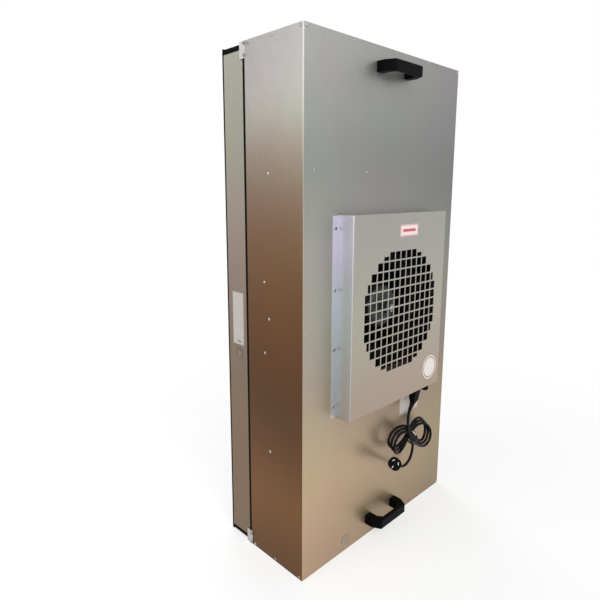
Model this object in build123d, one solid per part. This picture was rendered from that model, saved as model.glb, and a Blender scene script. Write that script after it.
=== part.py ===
from build123d import *
import math
import os

# Ceiling fan filter unit, standing on one end. All sizes are in millimetres.
# +Z runs along the long side, the fan face looks towards -Y and the filter towards +Y.

# --- driving dimensions: casing -------------------------------------------------
unit_height = 1175.0
unit_width = 575.0
casing_depth = 178.0
sheet = 1.0
fold_radius = 2.5
casing_lip = 30.0
end_flange = 20.0
seam_gap = 0.3

# --- driving dimensions: hood and its punched grille ------------------------------
hood_width = 365.0
hood_height = 456.0
hood_depth = 44.0
hood_flange = 18.0
hood_screw_pitch = 133.0
hood_screw_rows = 4
grille_rows = 13
grille_pitch = 22.0
grille_bar = 3.5

# --- driving dimensions: filter --------------------------------------------------
gasket_thickness = 7.0
gasket_width = 14.0
frame_depth = 66.0
frame_wall = 2.0
frame_lip = 15.0
frame_inset = 1.0
end_pad = 13.0
end_pad_clear = 3.0
seal_thickness = 5.0
seal_width = 15.0
pleat_pitch = 10.0
pleat_depth = 50.0
pleat_paper = 0.8
guard_bar = 4.0
guard_thickness = 1.2
guard_columns = 7
guard_rows = 14
slot_inset = 3.0
slot_width = 3.0
slot_clearance = 0.4
pad_radius = 5.0

# --- driving dimensions: fan -----------------------------------------------------
ring_flange_radius = 150.0
ring_throat_radius = 100.0
ring_depth = 24.0
ring_wall = 2.5
ring_nozzle = 4.0
ring_screw_margin = 8.5
ring_hole_margin = 5.0
ring_screw_count = 6
impeller_radius = 140.0
impeller_wall = 2.5
impeller_eye_radius = 104.0
impeller_eye_inset = 16.0
shroud_rise = 24.0
backplate_inset = 80.0
blade_count = 7
blade_inner_radius = 74.0
blade_thickness = 2.5
rotor_radius = 52.0
rotor_wall = 5.0
rotor_front_inset = 10.0
rotor_flange_radius = 64.0
rotor_flange_thickness = 3.0
rotor_boss_radius = 15.0
rotor_boss_length = 21.0
shaft_radius = 6.0
shaft_tip = 8.0
nut_radius = 11.0
shaft_clearance = 0.05
air_gap = 0.6
stator_flange_radius = 50.0
stator_flange_thickness = 8.0
stator_gap = 5.0
bearing_outer_radius = 14.0
bearing_width = 9.0
winding_height = 9.0
impeller_rivet_count = 6

# --- driving dimensions: what carries the fan ------------------------------------
motor_plate_width = 150.0
motor_plate_thickness = 2.5
rail_offset = 80.5
rail_width = 40.0
rail_depth = 20.0
rail_sheet = 1.5
mount_thickness = 8.5
mount_radius = 9.0
mount_half_span = 60.0
motor_bolt_circle = 78.0
diffuser_offset = 140.0
diffuser_height = 655.0
diffuser_side_gap = 0.3
tab_width = 30.0
tab_length = 42.0
tab_pitch = 313.0

# --- driving dimensions: linings and electrical parts ----------------------------
face_foam = 5.0
side_foam = 8.0
side_foam_gap = 8.0
side_foam_rear_gap = 14.0
foam_gap = 0.3
electric_row = 33.0
grommet_radius = 8.0
grommet_lip = 2.5
lead_x = -40.0
lead_hole_margin = 6.0
inlet_x = 109.0
inlet_flange_length = 50.0
inlet_flange_width = 24.0
inlet_flange_thickness = 3.0
inlet_body_length = 28.0
inlet_body_width = 20.5
inlet_body_depth = 22.0
inlet_wall = 2.0
knob_x = 148.0
knob_radius = 11.5
knob_height = 17.0
knob_gap = 0.8
spindle_radius = 3.0
spindle_clearance = 0.05
bush_radius = 5.0
switch_half_width = 14.0
switch_height = 26.0
capacitor_radius = 16.0
capacitor_length = 66.0
capacitor_x = -120.0
clamp_width = 14.0
terminal_length = 52.0
terminal_x = 4.0

# --- driving dimensions: handles, brackets and fasteners -------------------------
handle_length = 126.0
handle_rise = 43.0
handle_width = 24.0
handle_grip = 10.0
handle_leg = 22.0
handle_leg_top = 30.0
handle_bend_rise = 22.0
handle_bend_inset = 12.0
handle_screw_inset = 11.0
handle_softening = 2.5
handle_end_offset = 44.5
bracket_thickness = 1.5
bracket_depth = 20.0
bracket_height = 35.0
bracket_hook = 1.0
bracket_screw_pitch = 24.0
bracket_end_gap = 0.5
stud_edge = 8.5
stud_edge_far = 31.0
stud_step = 16.0
stud_rise = 90.0
rivet_radius = 1.6
rivet_head_radius = 3.3
rivet_head = 1.2
screw_radius = 2.0
screw_head_radius = 3.8
screw_head = 2.4
hole_clearance = 0.2
seat_clearance = 0.02
cord_radius = 3.5

# --- places that follow from the driving dimensions ------------------------------
total_depth = hood_depth + casing_depth + gasket_thickness + frame_depth + seal_thickness
front_y = -total_depth / 2
face_y = front_y + hood_depth
inner_face_y = face_y + sheet
casing_rear_y = face_y + casing_depth
frame_front_y = casing_rear_y + gasket_thickness
frame_rear_y = frame_front_y + frame_depth
seal_rear_y = frame_rear_y + seal_thickness
side_x = unit_width / 2
wall_x = side_x - sheet
fan_z = unit_height / 2
hood_bottom_z = fan_z - hood_height / 2
hood_top_z = fan_z + hood_height / 2
frame_x = side_x - frame_inset
frame_bottom_z = end_pad_clear + end_pad
frame_top_z = unit_height - frame_bottom_z
backplate_y = face_y + backplate_inset
rotor_front_y = face_y + rotor_front_inset
rotor_rear_y = backplate_y + impeller_wall + rotor_flange_thickness
stator_flange_y = rotor_rear_y + stator_gap
ring_lip_radius = ring_throat_radius + ring_depth - ring_nozzle
ring_screw_circle = ring_flange_radius - ring_screw_margin
inlet_hole_radius = ring_screw_circle - ring_hole_margin
lead_hole_reach = ring_flange_radius + lead_hole_margin + grommet_lip + grommet_radius
lead_hole_z = fan_z - math.sqrt(lead_hole_reach ** 2 - lead_x ** 2)
lining_low_z = lead_hole_z + grommet_radius + grommet_lip + foam_gap
electric_row_z = hood_bottom_z + electric_row
motor_plate_y = stator_flange_y + stator_flange_thickness
mount_y = motor_plate_y + motor_plate_thickness
rail_y = mount_y + mount_thickness
rail_rivet_y = rail_y + rail_depth / 2
diffuser_y = face_y + diffuser_offset
tab_rivet_y = diffuser_y - tab_length + 6.0
bracket_y = casing_rear_y - 6.0


def block(x0, x1, y0, y1, z0, z1):
    """Box between two corners."""
    centre = Pos((x0 + x1) / 2, (y0 + y1) / 2, (z0 + z1) / 2)
    return centre * Box(abs(x1 - x0), abs(y1 - y0), abs(z1 - z0))


def rod(axis, at, start, end, radius):
    """Cylinder along X, Y or Z between two stations; at gives the two other coordinates."""
    length, middle = abs(end - start), (start + end) / 2
    if axis == "X":
        return Pos(middle, *at) * Rot(0, 90, 0) * Cylinder(radius, length)
    if axis == "Y":
        return Pos(at[0], middle, at[1]) * Rot(90, 0, 0) * Cylinder(radius, length)
    return Pos(*at, middle) * Cylinder(radius, length)


def turned(profile, x=0.0, z=None):
    """Revolve an outline of (radius, y) points round a line parallel to Y, at the fan axis by default."""
    shape = revolve(make_face(Polyline(*profile, close=True)), Axis.Y)
    return Pos(x, 0, fan_z if z is None else z) * shape


def pin(head_radius, head_height, shank_radius, shank_length):
    """Pan-headed pin in its own frame: seat at z = 0, head above it and shank below."""
    crown = head_radius * 0.55
    outline = [(0, head_height), (crown, head_height), (head_radius, head_height * 0.35), (head_radius, 0),
               (shank_radius, 0), (shank_radius, -shank_length), (0, -shank_length)]
    points = [(radius, 0, height) for radius, height in outline]
    return revolve(make_face(Polyline(*points, close=True)), Axis.Z)


def placed_pins(head, places, direction):
    """Copies of a pin with their heads pointing along a direction."""
    return Compound(children=[Plane(origin=place, z_dir=direction) * head for place in places])


def drilled(body, places, axis, radius, reach=6.0):
    """Cut round holes through a body at the given places, along one axis."""
    for x, y, z in places:
        if axis == "Y":
            body -= rod("Y", (x, z), y - reach, y + reach, radius)
        elif axis == "X":
            body -= rod("X", (y, z), x - reach, x + reach, radius)
        else:
            body -= rod("Z", (x, y), z - reach, z + reach, radius)
    return body


def group(solids):
    """One node made of several separate solids."""
    return Compound(children=list(solids))


# --- places of fasteners ----------------------------------------------------------
rivet_edge = 6.0
corner_inset = 10.0
face_rivet_span = unit_width - 2 * corner_inset
face_rivets = [(corner_inset - side_x + face_rivet_span * step / 4, face_y, z)
               for step in range(5) for z in (rivet_edge, unit_height - rivet_edge)]
stud_rivets = [(x, face_y, z) for x, z in (
    (stud_edge_far - side_x, hood_top_z + stud_rise), (-hood_width / 4, hood_top_z + stud_rise),
    (stud_edge - side_x, fan_z - stud_step), (side_x - stud_edge, fan_z + stud_step),
    (side_x - stud_edge_far, hood_bottom_z - stud_rise))]
side_rivet_ys = (face_y + 8.0, face_y + casing_depth / 2, casing_rear_y - 15.0)
side_rivets = [(side * side_x, y, z) for side in (-1, 1) for y in side_rivet_ys
               for z in (rivet_edge, unit_height - rivet_edge)]
tab_rivets = [(side * side_x, tab_rivet_y, fan_z + step * tab_pitch) for side in (-1, 1) for step in (-1, 0, 1)]
rail_rivets = [(side * side_x, rail_rivet_y, fan_z + step * rail_offset) for side in (-1, 1) for step in (-1, 1)]
hood_screws = [(side * (hood_width + hood_flange) / 2, face_y - sheet,
                fan_z + (row - (hood_screw_rows - 1) / 2) * hood_screw_pitch)
               for side in (-1, 1) for row in range(hood_screw_rows)]
handle_zs = {"handle_upper": unit_height - handle_end_offset, "handle_lower": handle_end_offset}
handle_screws = [(side * (handle_length / 2 - handle_screw_inset), inner_face_y, z)
                 for side in (-1, 1) for z in handle_zs.values()]
ring_screws = [(ring_screw_circle * math.cos(math.tau * (step + 0.5) / ring_screw_count), face_y,
                fan_z + ring_screw_circle * math.sin(math.tau * (step + 0.5) / ring_screw_count))
               for step in range(ring_screw_count)]
bracket_screw_y = casing_rear_y - 2.5
bracket_screws = [(side * side_x, bracket_screw_y, z) for side in (-1, 1)
                  for z in (5.0, 5.0 + bracket_screw_pitch, unit_height - 5.0 - bracket_screw_pitch,
                            unit_height - 5.0)]


# --- casing -------------------------------------------------------------------------
def casing_wrap():
    """One sheet folded to the fan face, both long sides and the rear lips, with its holes."""
    centre_y = (face_y + casing_rear_y) / 2
    outline = RectangleRounded(unit_width, casing_depth, fold_radius)
    hollow = RectangleRounded(unit_width - 2 * sheet, casing_depth - 2 * sheet, fold_radius - sheet)
    mouth = Pos(0, casing_depth / 2) * Rectangle(unit_width - 2 * casing_lip, 4 * fold_radius)
    wrap = Pos(0, centre_y, 0) * extrude(outline - hollow - mouth, amount=unit_height)
    reach, notch = wall_x - seam_gap, casing_lip + seam_gap
    for low in (0, unit_height - notch):
        wrap -= block(-reach, reach, casing_rear_y - sheet - seam_gap, casing_rear_y + 1, low, low + notch)
    wrap -= rod("Y", (0, fan_z), face_y - 1, inner_face_y + 1, inlet_hole_radius)
    wrap -= rod("Y", (lead_x, lead_hole_z), face_y - 1, inner_face_y + 1, grommet_radius)
    shank = rivet_radius + hole_clearance
    wrap = drilled(wrap, face_rivets + stud_rivets, "Y", shank)
    wrap = drilled(wrap, side_rivets + tab_rivets + rail_rivets, "X", shank)
    wrap = drilled(wrap, hood_screws + handle_screws + ring_screws, "Y", screw_radius + hole_clearance)
    return drilled(wrap, bracket_screws, "X", screw_radius + hole_clearance)


def end_plate(at_top):
    """Folded pan that closes one end inside the wrap: web, three inner flanges and a rear lip."""
    half = wall_x - seat_clearance
    front, back = inner_face_y + seat_clearance, casing_rear_y
    pan = block(-half, half, front, back, 0, end_flange)
    pan -= block(-half + sheet, half - sheet, front + sheet, back - sheet, sheet, end_flange + 1)
    for side in (-1, 1):
        pan -= block(side * (half - sheet - seam_gap), side * (half + 1), back - fold_radius - seam_gap, back + 1,
                     -1, end_flange + 1)
    lip = block(-half + sheet + seam_gap, half - sheet - seam_gap, back - sheet, back, 0, casing_lip)
    pan = pan + lip
    corners = [edge for edge in pan.edges().filter_by(Axis.Z)
               if abs(edge.center().X) > half - 0.1 and edge.center().Y < front + 0.1]
    pan = fillet(corners, fold_radius - sheet + 0.2)
    shank = rivet_radius + hole_clearance
    pan = drilled(pan, [place for place in face_rivets if place[2] == rivet_edge], "Y", shank)
    pan = drilled(pan, [place for place in side_rivets if place[2] == rivet_edge], "X", shank)
    low_screws = [place for place in bracket_screws if place[2] < end_flange]
    pan = drilled(pan, low_screws, "X", screw_radius + hole_clearance)
    if at_top:
        return Pos(0, 0, unit_height) * mirror(pan, Plane.XY)
    return pan


def rivet_group(places, thickness):
    """Blind rivets whose heads sit on the face or the sides of the casing."""
    rivet = pin(rivet_head_radius, rivet_head, rivet_radius, thickness)
    front = [place for place in places if abs(place[0]) < side_x - 0.1]
    left = [place for place in places if place[0] <= 0.1 - side_x]
    right = [place for place in places if place[0] >= side_x - 0.1]
    solids = [Plane(origin=place, z_dir=(0, -1, 0)) * rivet for place in front]
    solids += [Plane(origin=place, z_dir=(-1, 0, 0)) * rivet for place in left]
    solids += [Plane(origin=place, z_dir=(1, 0, 0)) * rivet for place in right]
    return group(solids)


# --- hood -----------------------------------------------------------------------------
def grille_holes():
    """Sketch of the punched square holes: a round field with cut-back and half-size corner holes."""
    hole = grille_pitch - grille_bar
    half_hole = hole / 2
    middle = (grille_rows - 1) // 2
    reach = {0: middle, 1: middle, 2: middle, 3: middle - 1, 4: middle - 1, 5: middle - 2, 6: middle - 4}
    places = [(column * grille_pitch, row * grille_pitch)
              for row in range(-middle, middle + 1)
              for column in range(-reach[abs(row)], reach[abs(row)] + 1)]
    field = Sketch() + [Pos(*place) * Rectangle(hole, hole) for place in places]
    step = middle * grille_pitch - half_hole / 2
    side = (middle - 3) * grille_pitch
    for sx in (-1, 1):
        for sy in (-1, 1):
            field += Pos(sx * step, sy * side) * Rectangle(half_hole, hole)
            field += Pos(sx * side, sy * step) * Rectangle(hole, half_hole)
    return field


def hood():
    """Fan box folded from one sheet: punched front, four walls and two screw flanges."""
    half_w, half_h = hood_width / 2, hood_height / 2
    body = block(-half_w, half_w, front_y, face_y, hood_bottom_z, hood_top_z)
    body = fillet(body.faces().sort_by(Axis.Y)[0].edges() + body.edges().filter_by(Axis.Y), fold_radius)
    hollow = block(-half_w + sheet, half_w - sheet, front_y + sheet, face_y + 1,
                   hood_bottom_z + sheet, hood_top_z - sheet)
    body -= hollow
    flange_x = half_w + hood_flange
    for side in (-1, 1):
        body += block(side * (half_w - sheet), side * flange_x, face_y - sheet, face_y,
                      hood_bottom_z + fold_radius, hood_top_z - fold_radius)
    holes = extrude(grille_holes(), amount=4 * sheet, both=True)
    body -= Pos(0, front_y, fan_z) * Rot(90, 0, 0) * holes
    body = drilled(body, hood_screws, "Y", screw_radius + hole_clearance)
    inlet_y = (front_y + face_y) / 2
    cut_x, cut_y = inlet_body_length / 2 + hole_clearance, inlet_body_width / 2 + hole_clearance
    body -= block(inlet_x - cut_x, inlet_x + cut_x, inlet_y - cut_y, inlet_y + cut_y,
                  hood_bottom_z - 1, hood_bottom_z + 2)
    body = drilled(body, inlet_screw_places(), "Z", screw_radius + hole_clearance)
    return drilled(body, [(knob_x, knob_y(), hood_bottom_z)], "Z", bush_radius + hole_clearance)


def knob_y():
    """Depth of the speed spindle, a little in front of the middle of the hood wall."""
    return front_y + hood_depth * 0.42


def inlet_screw_places():
    """Both screws of the power inlet, on its flange ears."""
    inlet_y = (front_y + face_y) / 2
    ear = (inlet_flange_length + inlet_body_length) / 4 + 0.5
    return [(inlet_x + side * ear, inlet_y, hood_bottom_z) for side in (-1, 1)]


# --- handles and brackets ----------------------------------------------------------------
def bridge_handle(z):
    """Moulded bridge handle: flat arch with cut-off shoulders, spread legs and two feet on the fan face."""
    half, bend = handle_length / 2, handle_rise - handle_bend_rise
    shoulder = half - handle_bend_inset
    foot, crown = half - handle_leg, half - handle_leg_top
    inner_rise = handle_rise - handle_grip
    outer = make_face(Polyline((-half, 0), (-half, -bend), (-shoulder, -handle_rise), (shoulder, -handle_rise),
                               (half, -bend), (half, 0), close=True))
    outer = fillet(outer.vertices().filter_by(lambda corner: corner.Y < -1), 2 * handle_softening)
    inner = make_face(Polyline((-foot, 1), (-foot, -bend), (-crown, -inner_rise), (crown, -inner_rise),
                               (foot, -bend), (foot, 1), close=True))
    inner = fillet(inner.vertices().filter_by(lambda corner: corner.Y < -1), 2 * handle_softening)
    arch = extrude(outer - inner, amount=handle_width)
    rims = [edge for edge in arch.edges() if edge.center().Y < -bend * 0.25]
    arch = fillet(rims, handle_softening)
    arch = Pos(0, face_y, z - handle_width / 2) * arch
    bores = [(x, face_y, at_z) for x, _, at_z in handle_screws if at_z == z]
    return drilled(arch, bores, "Y", screw_radius + hole_clearance, reach=12.0)


def hook_block(side, play):
    """Volume of the bracket's hook in the frame rail, grown by a play for the slot that takes it."""
    reach, hook_y = side * frame_x, frame_front_y + slot_inset + slot_clearance
    return block(side * side_x, reach - side * (bracket_hook + play / 2), hook_y - play,
                 hook_y + slot_width - 2 * slot_clearance + play, frame_bottom_z + slot_inset - play,
                 bracket_height + play)


def corner_bracket(side, at_top):
    """Flat clip that holds the filter to the casing: plate on the side wall, hooked into a slot of the frame."""
    outer = side * side_x
    plate = block(outer, outer + side * bracket_thickness, bracket_y, bracket_y + bracket_depth, bracket_end_gap,
                  bracket_height)
    clip = plate + hook_block(side, 0)
    clip = drilled(clip, [place for place in bracket_screws if place[2] < unit_height / 2 and place[0] * side > 0],
                   "X", screw_radius + hole_clearance)
    if at_top:
        return Pos(0, 0, unit_height) * mirror(clip, Plane.XY)
    return clip


# --- filter ------------------------------------------------------------------------------
def frame_section(length):
    """Extruded filter frame rail, C-shaped in (inward, depth)."""
    outline = Rectangle(frame_lip, frame_depth, align=(Align.MIN, Align.MIN))
    pocket = Pos(frame_wall, frame_wall) * Rectangle(frame_lip, frame_depth - 2 * frame_wall,
                                                     align=(Align.MIN, Align.MIN))
    return extrude(outline - pocket, amount=length)


def frame_rail(position):
    """One mitred side of the filter frame: left, right, top or bottom."""
    width, height = 2 * frame_x, frame_top_z - frame_bottom_z
    upright = position in ("left", "right")
    length = height if upright else width
    rail = Pos(0, 0, -length / 2) * frame_section(length)
    wedge = Polyline((-1, length / 2 + 1), (frame_lip + 1, length / 2 - frame_lip - 1),
                     (frame_lip + 1, length / 2 + 1), close=True)
    cutter = Pos(0, frame_depth + 1, 0) * Rot(90, 0, 0) * extrude(make_face(wedge), amount=frame_depth + 2)
    rail = rail - cutter - mirror(cutter, Plane.XY)
    turn = {"left": 0, "right": 180, "top": 90, "bottom": -90}[position]
    reach = width / 2 if upright else height / 2
    rail = Pos(-reach, 0, 0) * rail
    middle_z = (frame_bottom_z + frame_top_z) / 2
    rail = Pos(0, frame_front_y, middle_z) * Rot(0, turn, 0) * rail
    if upright:
        slot = hook_block(-1 if position == "left" else 1, slot_clearance)
        rail = rail - slot - Pos(0, 0, unit_height) * mirror(slot, Plane.XY)
    return rail


def filter_media():
    """Pleated paper pack: one folded sheet, its folds running across the width."""
    half = frame_x - frame_wall - foam_gap
    low, high = frame_bottom_z + frame_wall + foam_gap, frame_top_z - frame_wall - foam_gap
    count = int((high - low) / (pleat_pitch / 2))
    half_pitch = (high - low) / count
    start = frame_front_y + (frame_depth - pleat_depth) / 2
    lift = pleat_paper * math.hypot(half_pitch, pleat_depth) / half_pitch
    near = [(start + (pleat_depth - lift) * (step % 2), low + step * half_pitch) for step in range(count + 1)]
    far = [(y + lift, z) for y, z in near]
    outline = make_face(Polyline(*near, *reversed(far), close=True))
    sheet_pack = extrude(outline, amount=half, both=True)
    return Plane.YZ * sheet_pack


def ring_strips(outer_x, low, high, width, y0, y1):
    """Four butted strips round a rectangle, as cut foam gaskets are laid."""
    return group([block(-outer_x, outer_x, y0, y1, low, low + width),
                  block(-outer_x, outer_x, y0, y1, high - width, high),
                  block(-outer_x, -outer_x + width, y0, y1, low + width, high - width),
                  block(outer_x - width, outer_x, y0, y1, low + width, high - width)])


def outlet_guard():
    """Protective grid on the clean side, held inside the frame lips."""
    half = frame_x - frame_wall - foam_gap
    low, high = frame_bottom_z + frame_wall + foam_gap, frame_top_z - frame_wall - foam_gap
    margin = frame_lip - frame_wall - foam_gap
    pitch_x = (2 * half - 2 * margin + guard_bar) / guard_columns
    pitch_z = (high - low - 2 * margin + guard_bar) / guard_rows
    back = frame_rear_y - frame_wall - 0.2
    plate = block(-half, half, back - guard_thickness, back, low, high)
    holes = Sketch() + [Pos((i - (guard_columns - 1) / 2) * pitch_x, (j - (guard_rows - 1) / 2) * pitch_z)
                        * Rectangle(pitch_x - guard_bar, pitch_z - guard_bar)
                        for i in range(guard_columns) for j in range(guard_rows)]
    cutter = Rot(90, 0, 0) * extrude(holes, amount=4 * guard_thickness, both=True)
    return plate - Pos(0, back, (low + high) / 2) * cutter


def end_pad_block(low):
    """One black foam pad over a whole end of the filter frame, with softened corners."""
    pad = block(-frame_x, frame_x, frame_front_y + 2 * slot_inset, frame_rear_y, low, low + end_pad)
    ends = [edge for edge in pad.edges().filter_by(Axis.Y)
            if abs(edge.center().Z - (end_pad_clear if low < fan_z else unit_height - end_pad_clear)) < 1]
    return fillet(ends, pad_radius)


def end_pads():
    """Black foam pads on both ends of the filter frame."""
    return {"filter_end_pad_lower": end_pad_block(end_pad_clear), "filter_end_pad_upper": end_pad_block(frame_top_z)}


# --- fan ---------------------------------------------------------------------------------
def inlet_ring():
    """Bell-mouthed inlet ring: flat flange on the fan face turning into a short nozzle."""
    bell = ring_depth - ring_nozzle
    front = face_y - ring_wall
    nozzle_y = face_y + ring_depth
    outer_r, throat = ring_flange_radius, ring_throat_radius
    start = (outer_r, front)
    lip_r = ring_lip_radius
    curve_in = ThreePointArc((lip_r, front), (lip_r - bell * math.sin(math.pi / 4), front + bell
                             - bell * math.cos(math.pi / 4)), (throat, front + bell))
    back_in = ThreePointArc((throat + ring_wall, front + bell),
                            (lip_r - (bell - ring_wall) * math.sin(math.pi / 4),
                             front + bell - (bell - ring_wall) * math.cos(math.pi / 4)),
                            (lip_r, front + ring_wall))
    outline = [Line(start, (lip_r, front)), curve_in, Line((throat, front + bell), (throat, nozzle_y)),
               Line((throat, nozzle_y), (throat + ring_wall, nozzle_y)),
               Line((throat + ring_wall, nozzle_y), (throat + ring_wall, front + bell)), back_in,
               Line((lip_r, front + ring_wall), (outer_r, face_y)), Line((outer_r, face_y), start)]
    ring = Pos(0, 0, fan_z) * revolve(make_face(Wire(outline)), Axis.Y)
    return drilled(ring, ring_screws, "Y", screw_radius + hole_clearance)


def shroud_outline(offset):
    """Front shroud meridian, from the eye to the rim, moved inward along the axis by an offset."""
    eye = (impeller_eye_radius, face_y + impeller_eye_inset + offset)
    rim = (impeller_radius, face_y + impeller_eye_inset + shroud_rise + offset)
    knee = (impeller_eye_radius + 7.0, face_y + impeller_eye_inset + shroud_rise * 0.62 + offset)
    return eye, knee, rim


def impeller():
    """Backward-curved wheel: flat backplate, curved blades and a flared front shroud, in one piece."""
    eye, knee, rim = shroud_outline(0)
    eye_in, knee_in, rim_in = shroud_outline(impeller_wall)
    front = ThreePointArc(eye, knee, rim)
    back = ThreePointArc(rim_in, knee_in, eye_in)
    shroud_face = make_face(Wire([front, Line(rim, rim_in), back, Line(eye_in, eye)]))
    shroud = revolve(shroud_face, Axis.Y)
    plate_r = rotor_radius + seat_clearance * 5
    plate = revolve(make_face(Polyline((plate_r, backplate_y), (impeller_radius, backplate_y),
                                       (impeller_radius, backplate_y + impeller_wall),
                                       (plate_r, backplate_y + impeller_wall), close=True)), Axis.Y)
    nozzle_clear = face_y + ring_depth + 1.5
    root, seat = blade_inner_radius - blade_thickness, backplate_y + 0.5
    corners = [eye_in, (eye[0], nozzle_clear), (root, nozzle_clear), (root, seat), (rim[0], seat), rim_in]
    under = revolve(make_face(Wire([back] + Polyline(*corners).edges())), Axis.Y)
    tip = impeller_radius - 1.0
    sweep_angle, camber = math.radians(52), 0.115
    start, end = (blade_inner_radius, 0), (tip * math.cos(sweep_angle), tip * math.sin(sweep_angle))
    chord = (end[0] - start[0], end[1] - start[1])
    middle = ((start[0] + end[0]) / 2 + chord[1] * camber, (start[1] + end[1]) / 2 - chord[0] * camber)
    spine = ThreePointArc(start, middle, end)
    blade_face = make_face(offset(spine, blade_thickness / 2, side=Side.BOTH))
    blade = Pos(0, seat, 0) * Rot(90, 0, 0) * extrude(blade_face, amount=backplate_inset)
    blade = blade & under
    blades = [Rot(0, 360 / blade_count * step, 0) * blade for step in range(blade_count)]
    wheel = Pos(0, 0, fan_z) * (plate + blades + shroud)
    return drilled(wheel, impeller_rivets(), "Y", rivet_radius + hole_clearance)


def impeller_rivets():
    """Places of the rivets that hold the backplate to the rotor flange."""
    circle = (rotor_radius + rotor_flange_radius) / 2
    return [(circle * math.cos(math.tau * step / impeller_rivet_count), backplate_y,
             fan_z + circle * math.sin(math.tau * step / impeller_rivet_count))
            for step in range(impeller_rivet_count)]


def rotor_shell():
    """External rotor: deep-drawn can with a rear flange and a front boss that grips the shaft."""
    cap = rotor_front_y
    edge = 6.0
    outline = [(shaft_radius, cap - rotor_boss_length), (rotor_boss_radius - 2, cap - rotor_boss_length),
               (rotor_boss_radius, cap - rotor_boss_length + 2), (rotor_boss_radius, cap),
               (rotor_radius - edge, cap), (rotor_radius, cap + edge),
               (rotor_radius, rotor_rear_y - rotor_flange_thickness),
               (rotor_flange_radius, rotor_rear_y - rotor_flange_thickness), (rotor_flange_radius, rotor_rear_y),
               (rotor_radius - rotor_wall, rotor_rear_y), (rotor_radius - rotor_wall, cap + rotor_wall + edge / 2),
               (rotor_radius - rotor_wall - edge / 2, cap + rotor_wall), (shaft_radius, cap + rotor_wall)]
    return drilled(turned(outline), impeller_rivets(), "Y", rivet_radius + hole_clearance)


def motor_shaft():
    """Shaft fixed in the rotor cap and running in both bearings, with a short threaded end in front."""
    front = rotor_front_y - rotor_boss_length - shaft_tip
    rear = stator_flange_y + stator_flange_thickness - 2.0
    outline = [(0, front), (shaft_radius - 1, front), (shaft_radius, front + 1), (shaft_radius, rear), (0, rear)]
    return turned(outline)


def rotor_nut():
    """Hexagon nut on the shaft end, against the rotor boss."""
    seat = rotor_front_y - rotor_boss_length
    nut = extrude(RegularPolygon(nut_radius, 6) - Circle(shaft_radius + seat_clearance), amount=shaft_tip - 3.0)
    return Pos(0, seat, fan_z) * Rot(90, 0, 0) * nut


def bearing_spans():
    """Stations of the two bearings along the shaft."""
    front = rotor_front_y + rotor_wall + 8.0
    rear = stator_flange_y + stator_flange_thickness - 3.0
    return [(front, front + bearing_width), (rear - bearing_width, rear)]


def motor_bearings():
    """Two sealed ball bearings, each a plain ring."""
    bore = shaft_radius + shaft_clearance
    return group([turned([(bore, start), (bearing_outer_radius, start), (bearing_outer_radius, end), (bore, end)])
                  for start, end in bearing_spans()])


def motor_stator():
    """Stator: laminated core on a bearing tube, with the mounting flange behind."""
    core_radius = rotor_radius - rotor_wall - air_gap
    (front, _), (_, rear) = bearing_spans()
    seat = bearing_outer_radius + seat_clearance
    tube = seat + 4.0
    core_front, core_rear = front + winding_height, rotor_rear_y - winding_height - 4.0
    flange_rear = stator_flange_y + stator_flange_thickness
    outline = [(seat, front), (tube, front), (tube, core_front), (core_radius, core_front),
               (core_radius, core_rear), (tube, core_rear), (tube, stator_flange_y),
               (stator_flange_radius, stator_flange_y), (stator_flange_radius, flange_rear), (seat, flange_rear)]
    core = turned(outline)
    web_y = (front + rear) / 2
    web = turned([(shaft_radius + 1.5, web_y - 4), (seat + 0.5, web_y - 4), (seat + 0.5, web_y + 4),
                  (shaft_radius + 1.5, web_y + 4)])
    bolts = [(x, motor_plate_y, z) for x, z in motor_bolt_places()]
    core = drilled(core + web, bolts, "Y", screw_radius + hole_clearance, reach=stator_flange_thickness + 1)
    return core - rod("Y", (lead_x * 0.75, fan_z), stator_flange_y - 1, flange_rear + 1, cord_radius + 1.5)


def stator_windings():
    """Varnished end windings on both faces of the core."""
    (front, _), _ = bearing_spans()
    tube = bearing_outer_radius + seat_clearance + 4.0
    core_radius = rotor_radius - rotor_wall - air_gap
    core_front, core_rear = front + winding_height, rotor_rear_y - winding_height - 4.0
    rings = []
    for near, far in ((core_front - winding_height + 1.0, core_front), (core_rear, core_rear + winding_height)):
        rings.append(turned([(tube + 2, near), (core_radius - 6, near), (core_radius - 6, far), (tube + 2, far)]))
    return group(rings)


def motor_bolt_places():
    """(x, z) of the four bolts between the stator flange and its plate."""
    half = motor_bolt_circle / 2 / math.sqrt(2)
    return [(sx * half, fan_z + sz * half) for sx in (-1, 1) for sz in (-1, 1)]


# --- what carries the fan ------------------------------------------------------------------
def mount_places():
    """(x, z) of the four rubber mounts between motor plate and rails."""
    return [(sx * mount_half_span, fan_z + sz * rail_offset) for sx in (-1, 1) for sz in (-1, 1)]


def motor_plate():
    """Flat plate that takes the stator flange and stands on four rubber mounts."""
    half_w, half_h = motor_plate_width / 2, rail_offset + rail_width / 2
    profile = RectangleRounded(2 * half_w, 2 * half_h, 12.0)
    plate = Pos(0, mount_y, fan_z) * Rot(90, 0, 0) * extrude(profile, amount=motor_plate_thickness)
    places = [(x, mount_y, z) for x, z in motor_bolt_places() + mount_places()]
    plate = drilled(plate, places, "Y", screw_radius + hole_clearance)
    return plate - rod("Y", (lead_x * 0.75, fan_z), motor_plate_y - 1, mount_y + 1, cord_radius + 1.5)


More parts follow.
